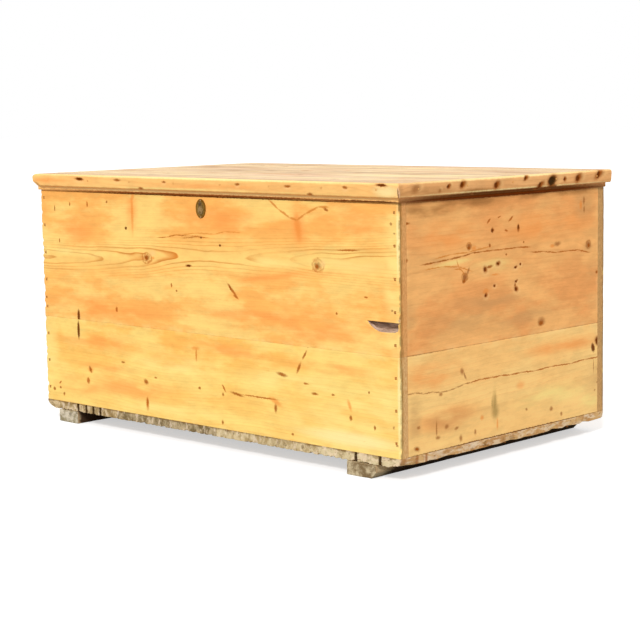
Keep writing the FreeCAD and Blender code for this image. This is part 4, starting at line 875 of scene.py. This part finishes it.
def makeBase():
    joints = (-550, -297, 32, 329, 550)
    for number in range(1, 5):
        node = f"bottom_board_{number}"
        start, end = joints[number - 1:number + 1]
        marks = [("gap", -330, spot, 22, 4.4) for spot in cracks["at"]]
        patches = [(paint(104, 78, 40), (40, 110, 80), 0.55, 0.68, 0.65),
                   (paint(236, 214, 186), (30, 90, 60), 0.53, 0.66, 0.6)]
        if number == 4:
            marks += [("knot", -330, 551, 9, 6), ("bare", -330, 551, 4.5, 7), ("knot", -290, 551, 5, 6),
                      ("knot", -262, 551, 4, 6)]
            patches += [(paint(238, 214, 178), (34, 60, 110), 0.46, 0.6, 0.75),
                        (paint(136, 84, 44), (70, 60, 160), 0.58, 0.68, 0.7)]
        # the darkening along the top of each board's end grain is painted shadow under the front boards
        wood = pineMaterial(f"bottom board {number} pine", node, "bottom", "raw", across=(start + end) / 2,
                            depth=-24, rise=40, ring=5.5, seed=20 + number * 1.3, contrast=0.8, band=120,
                            finish=0.8, endShade=1.0, rubbed=0.2, dirty=0.5, ends=baseEnds[number],
                            soot=(0.8, 20, 15.5, paint(120, 86, 40)), patches=patches, grain=(34, 56, 44),
                            marks=marks, deepMarks=True)
        spots = [spot * mm for spot in cracks["at"] if start < spot < end]
        lines = sorted(spot + step * cracks["halfWidth"] for spot in spots for step in (-2.2, -0.9, 0.9, 2.2))
        board(f"bottomBoard{number}", node, "carcass", wood, (3.5, 16, 4), arris=(0.4, 2.0), lumps=0.0005,
              shape=crackedBase, extra=(lines, (), ()))
    # for each runner: its side, its middle, seed, end-grain tones, the painted shade along it (where it
    # starts and is full in mm, and its strength), and the most wear of its arrises
    runners = (("left", -474, 31, (paint(214, 202, 178), paint(150, 138, 108)), (2, 12, 0.97), 4.5),
               ("right", 440, 33, (paint(204, 186, 150), paint(130, 108, 76)), (20, 64, 0.96), 3.5))
    for side, middle, seed, ends, gloom, mostWorn in runners:
        node = f"{side}_runner"
        wood = pineMaterial(f"{side} runner pine", node, "bottom", "weathered", across=middle, depth=-20,
                            rise=30, ring=5.0, seed=seed, contrast=0.8, band=120, inside="weathered",
                            finish=0.85, endShade=1.0, ends=ends, grain=(30, 45, 60), gloom=gloom)
        board(f"{side}Runner", node, "carcass", wood, (4, 14, 4), arris=(1.0, mostWorn), lumps=0.0006)


makeBase()
print("base made")


def lidStreaks(seed, start, end):
    # long worn streaks down the lid, some scrubbed pale and some still brown
    dice = random.Random(seed)
    streaks = []
    for number in range(26):
        kind = dice.choice(("bare", "blush", "shade", "grey", "shade"))
        streaks.append((kind, dice.uniform(-520, 520), dice.uniform(start, end), dice.uniform(60, 260),
                        dice.uniform(3, 11), dice.uniform(-1.5, 1.5)))
    return streaks + scattered(seed, 1040, end - start, start, 10)


lidMarks = [
    ("shade", -180, -14, 150, 34, 1), ("shade", -30, -60, 90, 16), ("shade", 477, 139, 70, 30),
    ("blush", 60, -170, 220, 26), ("bare", 309, -84, 170, 44), ("rust", -276, 195, 9, 7),
    ("rust", 88, -126, 7, 5), ("bare", 428, -34, 90, 22), ("shade", -420, 120, 110, 20),
    ("blush", -320, 53, 80, 16),
]


def makeLid():
    for number, part in enumerate(("front", "middle", "back")):
        node = f"lid_{part}_board"
        low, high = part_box(node)
        middle = (low.y + high.y) / 2 / mm
        knots = ((-260 + 210 * number, middle + 20, 14, 12), (310 - 150 * number, middle - 40, 11, 9))
        wood = pineMaterial(f"lid {part} pine", node, "lid", "bleached", across=middle - 20, depth=-30,
                            rise=60, ring=7.5, seed=40 + number * 2.7, contrast=0.9, band=110, knots=knots,
                            sheen=0.3, marks=lidStreaks(90 + number, low.y / mm, high.y / mm) + lidMarks)
        board(f"lid{part.title()}Board", node, "lid", wood, (9, 7, 12), arris=(0.4, 1.4), lumps=0.0003)
    for side, at in (("left", -330), ("right", 330)):
        node = f"lid_{side}_batten"
        low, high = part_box(node)
        middle = (low.x + high.x) / 2 / mm
        wood = pineMaterial(f"{side} batten pine", node, "bottom", "raw", across=middle, depth=-20, rise=30,
                            ring=5.5, seed=50 + at / 100, contrast=0.6, band=120)
        board(f"{side}Batten", node, "lid", wood, (7, 12, 5), arris=(0.8, 2.5))


makeLid()
print("lid made")


def assign(material, *names):
    for name in names:
        piece = cadNodes[name]
        piece.data.materials.clear()
        piece.data.materials.append(material)


# mouldings: one worn section run along the lid's edge and mitred at the front corners

def mouldingSection(reach, top, foot):
    sizes = dict(rake=1.5, topArris=4.0, lowerArris=3.0, lipHeight=9.0, lipOut=3.0, spacing=2.2)
    shoulder, nose = foot + sizes["lipHeight"] * mm, reach - sizes["rake"] * mm
    corners = [(0.0, foot), (0.0, top), (reach - sizes["topArris"] * mm, top)]
    for step in range(1, 6):
        turn = math.radians(90 - 18 * step)
        corners.append((reach - sizes["topArris"] * mm * (1 - math.cos(turn)),
                        top - sizes["topArris"] * mm * (1 - math.sin(turn))))
    for step in range(6):
        turn = math.radians(18 * step)
        corners.append((nose - sizes["lowerArris"] * mm * (1 - math.cos(turn)),
                        shoulder + sizes["lowerArris"] * mm * (1 - math.sin(turn))))
    corners += [(sizes["lipOut"] * mm, shoulder), (sizes["lipOut"] * mm, foot)]
    section = []
    for (out, level), (nextOut, nextLevel) in zip(corners, corners[1:] + corners[:1]):
        across, rise = nextOut - out, nextLevel - level
        steps = max(1, round(math.hypot(across, rise) / (sizes["spacing"] * mm)))
        section += [(out + across * i / steps, level + rise * i / steps) for i in range(steps)]
    return section


# deep dents and lost chips in mm: how far along, how high, half length, half height, depth
mouldingDents = {
    "front": ((-389.7, 567, 15, 3.6, 2.2), (-257.3, 567, 10, 2.4, 1.6), (-101.7, 566, 6, 1.8, 0.9),
              (125.4, 566, 6, 2.4, 1.2), (269.6, 565, 8, 2.2, 1.2), (425.1, 566, 6, 2.6, 1.4),
              (519, 572.4, 14, 3.0, 2.6), (-180, 551, 8, 2.0, 1.0), (330, 551, 7, 2, 1.0)),
    "right": ((-299, 564.6, 13, 8, 0.7), (-228, 558, 5, 4, 0.8), (-201, 564.4, 7, 5, 1.0),
              (-158, 565.5, 12, 8, 1.8), (-50, 560, 13, 9, 1.6), (45, 570, 10, 5, 1.0), (96, 553, 16, 7, 1.8),
              (135, 560, 20, 13, 2.6), (180, 562, 6, 6, 1.0), (228, 562, 15, 10, 1.4),
              (303, 566.5, 20, 8, 1.2)),
    "left": ((-220, 564, 9, 3, 1.2), (-40, 568, 12, 3, 1.6), (150, 556, 8, 3, 1.2), (280, 566, 9, 3, 1.4)),
}


mouldingSides = {"front": 0, "left": -1, "right": 1}

# how far the section reaches out, how its arrises are rubbed, and how its corners are worn: in metres,
# but for the slope
mouldingWear = dict(skin=0.00003, reach=0.01237, mitre=0.0124, station=0.0042, rubReach=0.007,
                    upperRub=(0.0011, 0.0009), lowerRub=(0.0010, 0.0006), noseInset=0.0015, lip=0.009,
                    backPart=0.004, faceRub=0.0003, cornerReach=0.03, cornerRub=0.0018, slopeStart=0.0038,
                    slope=0.72, slopeEnd=0.012, rounding=0.0035)


def wornSpot(run, along, corner, out, level, top, foot):
    # where a point of the section ends up, corner being its distance from the mitre
    wear = mouldingWear
    toLip = level - foot - wear["lip"]
    seedAt = Vector((along * 40, level * 40, mouldingSides[run] * 5 + 3))
    rub = max(0.0, 0.5 + noise.noise(seedAt * 1.6))
    upper = max(0.0, 1 - math.hypot(out - wear["reach"], level - top) / wear["rubReach"])
    lower = max(0.0, 1 - math.hypot(out - wear["reach"] + wear["noseInset"], toLip) / wear["rubReach"])
    wornOut = out - (wear["upperRub"][0] * upper + wear["lowerRub"][0] * lower) * rub
    wornLevel = level - wear["upperRub"][1] * upper * rub + wear["lowerRub"][1] * lower * rub
    if out > wear["backPart"]:
        wornOut -= wear["faceRub"] * max(0.0, noise.noise(seedAt * 0.45))
        for at, height, halfLength, halfHeight, deep in mouldingDents[run]:
            gap = math.hypot((along / mm - at) / halfLength, (level / mm - height) / halfHeight)
            if gap < 1:
                wornOut -= deep * mm * (1 - gap * gap) * (0.7 + 0.6 * noise.noise(seedAt * 5))
        worn = max(0.0, 1 - corner / wear["cornerReach"])
        if run == "left" or (run == "front" and along < 0):
            # the left corner is worn to a slope under the nose and rounded above it
            slope = wear["slopeStart"] + toLip * wear["slope"] + (1 - worn) * wear["slopeEnd"]
            wornOut = min(wornOut, slope)
            wornOut -= wear["rounding"] * worn * max(0.0, (level - top + wear["lip"]) / wear["lip"]) ** 2
        else:
            wornOut -= wear["cornerRub"] * worn * rub
    return max(wornOut, 0.0), wornLevel


def moulding(run, body, material):
    node = f"lid_{run}_moulding"
    low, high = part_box(node)
    top, foot = high.z - mouldingWear["skin"], low.z + mouldingWear["skin"]
    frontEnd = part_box("lid_front_moulding")[1]
    lidFront, half = frontEnd.y, frontEnd.x - mouldingWear["mitre"]
    section = mouldingSection(mouldingWear["reach"], top, foot)
    length = 2 * half if run == "front" else high.y - lidFront
    stations = round(length / mouldingWear["station"])
    verts, quads = [], []
    for station in range(stations + 1):
        share = station / stations
        for out, level in section:
            if run == "front":
                along = -half - out + 2 * share * (half + out)
                corner = max(0.0, half - abs(along))
            else:
                along = lidFront - out + share * (high.y - lidFront + out)
                corner = max(0.0, along - lidFront)
            wornOut, wornLevel = wornSpot(run, along, corner, out, level, top, foot)
            if run == "front":
                x = along * (half + wornOut) / (half + out) if share in (0, 1) else along
                verts.append((x, lidFront - wornOut, wornLevel))
            else:
                y = lidFront - wornOut if share == 0 else along
                verts.append((mouldingSides[run] * (half + wornOut), y, wornLevel))
    count = len(section)
    for station in range(stations):
        for i in range(count):
            j = (i + 1) % count
            a, b = station * count, (station + 1) * count
            quads.append((a + i, a + j, b + j, b + i))
    quads += [tuple(reversed(range(count))), tuple(range(stations * count, (stations + 1) * count))]
    piece = meshObject(f"{run}Moulding", [Vector(v) for v in verts], quads, material)
    tidied(piece)
    trimTo(piece, node)
    smoothFaces(piece, 38)
    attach(piece, body)
    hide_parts(node)


# on the front run the two light lines along the lip are painted light against the nose's shade, the pale line
# just above them is a painted highlight on the nose's lower arris, and the near-black line at the lip's foot
# on the right is a dark joint with painted shadow
frontRunMarks = [
    ("bare", 531, 561, 32, 13), ("blush", 560, 560, 4, 12), ("halo", 0, 546.2, 560, 3.4),
    ("bare", 0, 545.4, 520, 1.8), ("warm", -500, 562, 60, 6), ("warm", 40, 560, 150, 5),
    ("pale", 0, 552, 450, 2), ("dusk", 558.5, 556, 1.4, 12, 6), ("gap", 470, 540, 100, 2.4),
]
# on the right run the near-black band over the lip is painted shade, the darker line at its foot is a dark
# joint with painted shadow, and the light line above is a painted highlight on the nose's lower arris
endRunMarks = [
    ("blush", -347, 556, 4, 9), ("dusk", 0, 543, 352, 6.6), ("gap", 0, 540, 352, 3.4),
    ("bare", 10, 550.8, 340, 1.5), ("shade", -270, 556, 80, 9), ("shade", -110, 553, 60, 5),
    ("knot", -120, 546, 5, 3), ("knot", 262, 546, 6, 3),
]


def mouldingMarks(run):
    # every dent holds its own dirt, more of it where the dent is deep
    reach = 570 if run == "front" else 350
    # the dark line at the lip's foot is a dark joint with painted shadow under the lip
    marks = [("bare", 0, 575.3, reach, 2.6), ("seam", 0, 540.4, reach, 2.6)]
    for at, height, long, tall, deep in mouldingDents[run]:
        if run == "front":
            marks += [("rust", at, height, long * 1.1, tall * 0.95, -4),
                      ("halo", at, height - tall - 2, long * 1.3, 4)]
            if deep > 2:
                marks.append(("hole", at, height, long * 0.8, tall * 0.6, -4))
        else:
            marks += [("knot", at, height, long * 1.1, tall * 1.05, 20),
                      ("halo", at + long * 0.6, height + 3, long, tall)]
            if deep > 0.9:
                marks += [("rust", at - 1, height + 1, long * 0.8, tall * 0.75, 35),
                          ("hole", at - 3, height, long * 0.4, tall * 0.6, 80)]
            if deep > 2:
                marks += [("gap", at, height + 1, long * 0.7, tall * 0.8, 20),
                          ("dusk", at + 4, height - 11, 14, 6)]
    return marks + (frontRunMarks if run == "front" else endRunMarks)


def makeMouldings():
    runs = (("front", "lidFront", "orange", 6.1), ("left", "lidLeft", "umber", 6.3),
            ("right", "lidRight", "tan", 6.5))
    for run, face, look, seed in runs:
        wood = pineMaterial(f"lid {run} moulding pine", f"lid_{run}_moulding", face, look, across=540,
                            depth=-30, rise=40, ring=6, seed=seed, contrast=0.22, band=200, inside=look,
                            rubbed=0.1, dirty=0.1, endShade=0.3, marks=mouldingMarks(run), deepMarks=True)
        moulding(run, "lid", wood)


makeMouldings()
print("mouldings run")


# brass: an oval plate with a raised rim, and the drop that swings over the keyhole

def domed(name, node, body, material, outline, centre, heights, back):
    # rings of the outline drawn in towards its centre, each at its own height above the back
    count = len(outline)
    verts = [Vector((centre[0], back - heights[0][1], centre[1]))]
    for share, height in heights[1:]:
        for x, z in outline:
            spot = (centre[0] + (x - centre[0]) * share, back - height, centre[1] + (z - centre[1]) * share)
            verts.append(Vector(spot))
    quads = [(0, 1 + i, 1 + (i + 1) % count) for i in range(count)]
    for ring in range(len(heights) - 2):
        a, b = 1 + ring * count, 1 + (ring + 1) * count
        quads += [(a + i, b + i, b + (i + 1) % count, a + (i + 1) % count) for i in range(count)]
    last = 1 + (len(heights) - 2) * count
    quads.append(tuple(last + i for i in range(count)))
    piece = meshObject(name, verts, quads, material)
    tidied(piece)
    trimTo(piece, node)
    smoothFaces(piece, 40)
    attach(piece, body)
    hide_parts(node)


def makeEscutcheon():
    plate = dict(halfWidth=15.2, halfHeight=20.2, back=-336.5, keyhole=512)
    oval = []
    for step in range(0, 360, 4):
        turn = math.radians(step)
        oval.append((plate["halfWidth"] * mm * math.cos(turn),
                     plate["keyhole"] * mm + plate["halfHeight"] * mm * math.sin(turn)))
    # the share of the way out, and the height above the back in mm: flat, and raised at the rim
    heights = [(0.0, 0.95), (0.3, 0.95), (0.6, 0.95), (0.78, 0.95), (0.81, 1.0), (0.84, 1.25), (0.88, 1.45),
               (0.92, 1.48), (0.96, 1.4), (0.99, 1.1), (1.0, 0.7), (1.0, 0.02)]
    heights = [(share, height * mm) for share, height in heights]
    rim = (paint(120, 78, 8), (-0.4, 511.6, 15.2, 20.2), 0.74, 0.88, 0.95)
    brass = metalMaterial("aged brass plate", paint(146, 112, 48), paint(176, 146, 86), paint(108, 78, 24),
                          0.15, 0.6, 900, 220, sheen=0.1, tarnishAndShade=(rim,))
    domed("escutcheonPlate", "escutcheon_plate", "carcass", brass, oval, (0.0, plate["keyhole"] * mm),
          heights, plate["back"] * mm)

    cover = dict(pivot=523, drop=15, eye=4.7, lobe=8.4, back=-338.2)
    drop = []
    for step in range(0, 360, 5):
        turn = math.radians(step)
        side, up = math.cos(turn), math.sin(turn)
        if -up * cover["drop"] + cover["lobe"] > cover["eye"]:
            level = cover["pivot"] - cover["drop"] + up * cover["lobe"]
            drop.append((side * cover["lobe"] * mm, level * mm))
        else:
            drop.append((side * cover["eye"] * mm, (cover["pivot"] + up * cover["eye"]) * mm))
    shares = (0.2, 0.4, 0.6, 0.75, 0.87, 0.95)
    heights = [(0.0, 1.38)] + [(share, 0.5 + 0.88 * math.sqrt(1 - share ** 2)) for share in shares]
    heights += [(1.0, 0.4), (1.0, 0.02)]
    heights = [(share, height * mm) for share, height in heights]
    # the cover is darker round its pivot and at a spot low on the drop, and darkens towards the edge of its
    # lobe: the last is painted shade along the edge
    tarnishAndShade = ((paint(54, 28, 0), (-0.4, cover["pivot"] - 2.5, 4.6, 4.4), 1.1, 0.6, 0.95),
               (paint(96, 70, 24), (0, cover["pivot"] - 19, 3.0, 3.4), 1.2, 0.5, 0.75),
               (paint(104, 78, 34), (0.6, cover["pivot"] - 14, cover["lobe"], 9.5), 0.72, 1.0, 0.8))
    wornBrass = metalMaterial("worn brass cover", paint(158, 128, 82), paint(190, 160, 118),
                              paint(124, 94, 48), 0.1, 0.6, 900, 260, tarnishAndShade=tarnishAndShade, sheen=0.15)
    centre = (0.0, (cover["pivot"] - 11) * mm)
    domed("keyholeCover", "keyhole_cover", "keyhole_cover", wornBrass, drop, centre, heights,
          cover["back"] * mm)


makeEscutcheon()
print("escutcheon made")


# nails, brads, pins and screws: one shape of each kind, set at the place of every one of its solids

# rings down each shank: depth and half width in mm, and how square (2 is round, 6 nearly square)
fixingRings = {
    "nail": [(0.1, 1.0, 3), (0.1, 2.2, 4), (0.4, 2.72, 5), (1.3, 2.8, 6), (1.45, 1.45, 6), (20, 1.2, 6),
             (49, 0.6, 5)],
    "brad": [(0.0, 0.5, 3), (0.0, 1.1, 4), (0.2, 1.45, 5), (0.9, 1.5, 6), (1.0, 0.95, 6), (37, 0.5, 5)],
    "pin": [(0.02, 0.45, 2), (0.08, 0.9, 2), (0.25, 1.3, 2), (1.2, 1.36, 2), (11.5, 1.3, 2)],
    "screw": [(0.05, 0.5, 2), (0.02, 2.6, 2), (0.1, 3.45, 2), (0.3, 3.55, 2), (1.75, 1.9, 2), (12, 1.8, 2),
              (15.5, 0.9, 2)],
}


def fixingShape(kind, material):
    rings, count = fixingRings[kind], 20 if kind == "screw" else 12
    verts, quads = [], []
    for depth, half, square in rings:
        for i in range(count):
            turn = 2 * math.pi * i / count
            c, n = math.cos(turn), math.sin(turn)
            reach = half / (abs(c) ** square + abs(n) ** square) ** (1 / square)
            verts.append(Vector((reach * c, reach * n, -depth)) * mm)
    for ring in range(len(rings) - 1):
        for i in range(count):
            j = (i + 1) % count
            quads.append((ring * count + i, (ring + 1) * count + i, (ring + 1) * count + j, ring * count + j))
    quads += [tuple(range(count)), tuple(reversed(range((len(rings) - 1) * count, len(rings) * count)))]
    piece = meshObject(f"{kind} shape", verts, quads, material)
    tidied(piece)
    if kind == "screw":
        low, high = Vector((-4, -0.45, -0.9)) * mm, Vector((4, 0.45, 1)) * mm
        slotVerts, slotQuads = blockMesh(low, high, (4, 1, 1))
        slot = meshObject("slot", slotVerts, slotQuads, material)
        cutBy(piece, slot, "DIFFERENCE")
    return piece


def makeFixingTree():
    tree = bpy.data.node_groups.new("set fixings", "GeometryNodeTree")
    sockets = {"Places": "NodeSocketGeometry", "Fixing": "NodeSocketObject", "Turn": "NodeSocketFloat",
               "Tilt": "NodeSocketFloat", "Smallest": "NodeSocketFloat", "Seed": "NodeSocketInt",
               "Finish": "NodeSocketMaterial"}
    for label, kind in sockets.items():
        tree.interface.new_socket(label, in_out="INPUT", socket_type=kind)
    tree.interface.new_socket("Fixings", in_out="OUTPUT", socket_type="NodeSocketGeometry")
    given, result = put(tree, "NodeGroupInput").outputs, put(tree, "NodeGroupOutput").inputs
    facing = put(tree, "GeometryNodeInputNamedAttribute", {"Name": "facing"},
                 data_type="FLOAT_VECTOR").outputs[0]
    shape = put(tree, "GeometryNodeObjectInfo", {"Object": given["Fixing"]}).outputs["Geometry"]
    size = put(tree, "FunctionNodeRandomValue", {2: given["Smallest"], 3: 1.0, "Seed": given["Seed"]},
               data_type="FLOAT").outputs[1]
    stretch = put(tree, "ShaderNodeCombineXYZ", {0: size, 1: size, 2: 1.0}).outputs[0]
    tiltBack, turnBack = times(tree, given["Tilt"], -1.0), times(tree, given["Turn"], -1.0)
    least = put(tree, "ShaderNodeCombineXYZ", {0: tiltBack, 1: tiltBack, 2: turnBack}).outputs[0]
    inputs = {0: given["Tilt"], 1: given["Tilt"], 2: given["Turn"]}
    most = put(tree, "ShaderNodeCombineXYZ", inputs).outputs[0]
    lean = put(tree, "FunctionNodeRandomValue", {0: least, 1: most, "Seed": given["Seed"]},
               data_type="FLOAT_VECTOR").outputs[0]
    inputs = {"Points": given["Places"], "Instance": shape, "Rotation": facing, "Scale": stretch}
    upright = put(tree, "GeometryNodeInstanceOnPoints", inputs).outputs[0]
    inputs = {"Instances": upright, "Rotation": lean, "Local Space": True}
    leaning = put(tree, "GeometryNodeRotateInstances", inputs).outputs[0]
    real = put(tree, "GeometryNodeRealizeInstances", {"Geometry": leaning}).outputs[0]
    done = put(tree, "GeometryNodeSetMaterial", {"Geometry": real, "Material": given["Finish"]}).outputs[0]
    feed(tree, done, result["Fixings"])
    return tree


def solidBoxes(node):
    # the box of every separate solid in a node, from its joined mesh
    shape = mergedShape(node)
    seen, boxes = set(), []
    for first in shape.verts:
        if first in seen:
            continue
        seen.add(first)
        queue, found = [first], []
        while queue:
            vert = queue.pop()
            found.append(vert.co.copy())
            for edge in vert.link_edges:
                other = edge.other_vert(vert)
                if other not in seen:
                    seen.add(other)
                    queue.append(other)
        low = Vector(min(spot[a] for spot in found) for a in range(3))
        high = Vector(max(spot[a] for spot in found) for a in range(3))
        boxes.append((low, high))
    shape.free()
    return boxes


fixingTree = makeFixingTree()
quarter = math.pi / 2
facings = {"-Y": (quarter, 0, 0), "+Y": (-quarter, 0, 0), "+X": (0, quarter, 0), "-X": (0, -quarter, 0),
           "-Z": (math.pi, 0, 0), "+Z": (0, 0, 0)}


def setFixings(node, body, shape, towards, finish, seed, turn, tilt, smallest):
    spots, turns = [], []
    for low, high in solidBoxes(node):
        heads = towards if towards != "ends" else ("+X" if low.x > 0 else "-X")
        axis, sign = "XYZ".index(heads[1]), heads[0]
        spot = (low + high) / 2
        spot[axis] = high[axis] if sign == "+" else low[axis]
        spots.append(tuple(spot))
        turns.append(facings[heads])
    mesh = bpy.data.meshes.new(node + " places")
    mesh.from_pydata(spots, [], [])
    facing = mesh.attributes.new("facing", "FLOAT_VECTOR", "POINT")
    facing.data.foreach_set("vector", [angle for angles in turns for angle in angles])
    words = node.split("_")
    piece = sceneObject(words[0] + "".join(word.title() for word in words[1:]), mesh)
    modifier = piece.modifiers.new("fixings", "NODES")
    modifier.node_group = fixingTree
    values = {"Fixing": shape, "Turn": math.radians(turn), "Tilt": math.radians(tilt), "Smallest": smallest,
              "Seed": seed, "Finish": finish}
    for item in fixingTree.interface.items_tree:
        if item.item_type == "SOCKET" and item.in_out == "INPUT" and item.name in values:
            modifier[item.identifier] = values[item.name]
    applied(piece)
    smoothFaces(piece, 40)
    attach(piece, body)
    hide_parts(node)


def makeFixings():
    shapes = {kind: fixingShape(kind, rustyNail) for kind in ("nail", "brad", "pin", "screw")}
    rows = (
        ("front_nails", "carcass", "nail", "-Y", rustyNail),
        ("back_nails", "carcass", "nail", "+Y", rustyNail),
        ("bottom_front_nails", "carcass", "nail", "-Z", rustyNail),
        ("bottom_back_nails", "carcass", "nail", "-Z", rustyNail),
        ("bottom_end_nails", "carcass", "nail", "-Z", rustyNail),
        ("left_runner_nails", "carcass", "nail", "-Z", rustyNail),
        ("right_runner_nails", "carcass", "nail", "-Z", rustyNail),
        ("front_moulding_brads", "lid", "brad", "-Y", waxedBrad),
        ("end_moulding_brads", "lid", "brad", "ends", waxedBrad),
        ("escutcheon_pins", "carcass", "pin", "-Y", pinBrass),
        ("batten_screws", "lid", "screw", "-Z", oldIron),
        ("link_plate_screws", "lid", "screw", "-Z", oldIron),
        ("lid_hinge_screws", "lid", "screw", "-Z", oldIron),
        ("back_hinge_screws", "carcass", "screw", "+Z", oldIron),
        ("lock_screws", "carcass", "screw", "+Y", oldIron),
    )
    for seed, (node, body, kind, towards, finish) in enumerate(rows):
        turn = 180 if kind in ("screw", "pin") else 6
        tilt = 0 if kind == "screw" else 1.5
        smallest = 0.86 if kind in ("nail", "brad") else 1.0
        setFixings(node, body, shapes[kind], towards, finish, seed + 3, turn, tilt, smallest)
    for shape in shapes.values():
        bpy.data.objects.remove(shape)


makeFixings()
print("fixings set")

ironNames = [n for n in cadNodes if "hinge" in n and "screws" not in n]
ironNames += [n for n in cadNodes if n.startswith("lock_") and n not in ("lock_bolt", "lock_screws")]
assign(oldIron, *ironNames, "bolt_guide", "key_ward", "link_plate")
assign(lockSteel, "lock_bolt", "bolt_spring")
assign(darkBronze, "cover_pivot")


# stage, light and camera

def seenByCamera(tree):
    # 1 for rays that draw the picture, 0 for those that only light the scene
    rays = put(tree, "ShaderNodeLightPath").outputs
    direct = calc(tree, "MAXIMUM", rays["Is Camera Ray"], rays["Is Glossy Ray"])
    return calc(tree, "MAXIMUM", direct, rays["Is Transmission Ray"])


def makeFloor():
    reach = 30
    mesh = bpy.data.meshes.new("floor")
    corners = [(-reach, -reach, 0), (reach, -reach, 0), (reach, reach, 0), (-reach, reach, 0)]
    mesh.from_pydata(corners, [], [(0, 1, 2, 3)])
    floor = sceneObject("floor", mesh)
    material = newMaterial("plain pale floor")
    tree = material.node_tree
    seen = seenByCamera(tree)
    tone = mixed(tree, seen, (0.42, 0.42, 0.42, 1), (0.62, 0.62, 0.62, 1))
    diffuse = put(tree, "ShaderNodeBsdfDiffuse", {"Color": tone}).outputs[0]
    strength = times(tree, seen, 0.55)
    glow = put(tree, "ShaderNodeEmission", {"Color": (1, 1, 1, 1), "Strength": strength}).outputs[0]
    both = put(tree, "ShaderNodeAddShader", {0: diffuse, 1: glow}).outputs[0]
    mesh.materials.append(surfaced(material, both))


def makeSky():
    world = bpy.data.worlds.new("soft light")
    bpy.context.scene.world = world
    world.use_nodes = True
    tree = world.node_tree
    tree.nodes.clear()
    strength = put(tree, "ShaderNodeMapRange", {0: seenByCamera(tree), 3: 0.75, 4: 1.0}).outputs[0]
    sky = put(tree, "ShaderNodeBackground", {"Color": (1, 1, 1, 1), "Strength": strength}).outputs[0]
    feed(tree, sky, put(tree, "ShaderNodeOutputWorld").inputs[0])


def makeLamp(name, strength, azimuth, height, spread):
    # azimuth is turned from the front towards the right side
    lamp = bpy.data.lights.new(name, "SUN")
    lamp.energy = strength
    lamp.angle = math.radians(spread)
    a, h = math.radians(azimuth), math.radians(height)
    towards = Vector((math.sin(a) * math.cos(h), -math.cos(a) * math.cos(h), math.sin(h)))
    sceneObject(name, lamp).rotation_euler = towards.to_track_quat("Z", "Y").to_euler()


def makeCamera():
    # the place in metres, the turns in radians, the focal length in pixels of the picture's width
    settings = dict(place=(2.6677, -2.7615, 0.7284), yaw=0.7646, pitch=0.1262, roll=-0.0161, focal=1711.5,
                    width=640, sensor=36)
    camera = bpy.data.cameras.new("camera")
    camera.sensor_width = settings["sensor"]
    camera.lens = settings["focal"] * settings["sensor"] / settings["width"]
    cameraObject = sceneObject("camera", camera)
    yaw, pitch, roll = settings["yaw"], settings["pitch"], settings["roll"]
    ahead = Vector((-math.sin(yaw) * math.cos(pitch), math.cos(yaw) * math.cos(pitch), -math.sin(pitch)))
    right = Vector((math.cos(yaw), math.sin(yaw), 0))
    up = right.cross(ahead)
    tilted = right * math.cos(roll) + up * math.sin(roll)
    upright = up * math.cos(roll) - right * math.sin(roll)
    turn = Matrix((tilted, upright, -ahead)).transposed().to_4x4()
    cameraObject.matrix_world = Matrix.Translation(settings["place"]) @ turn
    bpy.context.scene.camera = cameraObject


makeFloor()
makeSky()
makeLamp("key", strength=2.05, azimuth=32, height=38, spread=9)
makeCamera()
bpy.context.scene.view_settings.view_transform = "Standard"
print("stage, light and camera set")
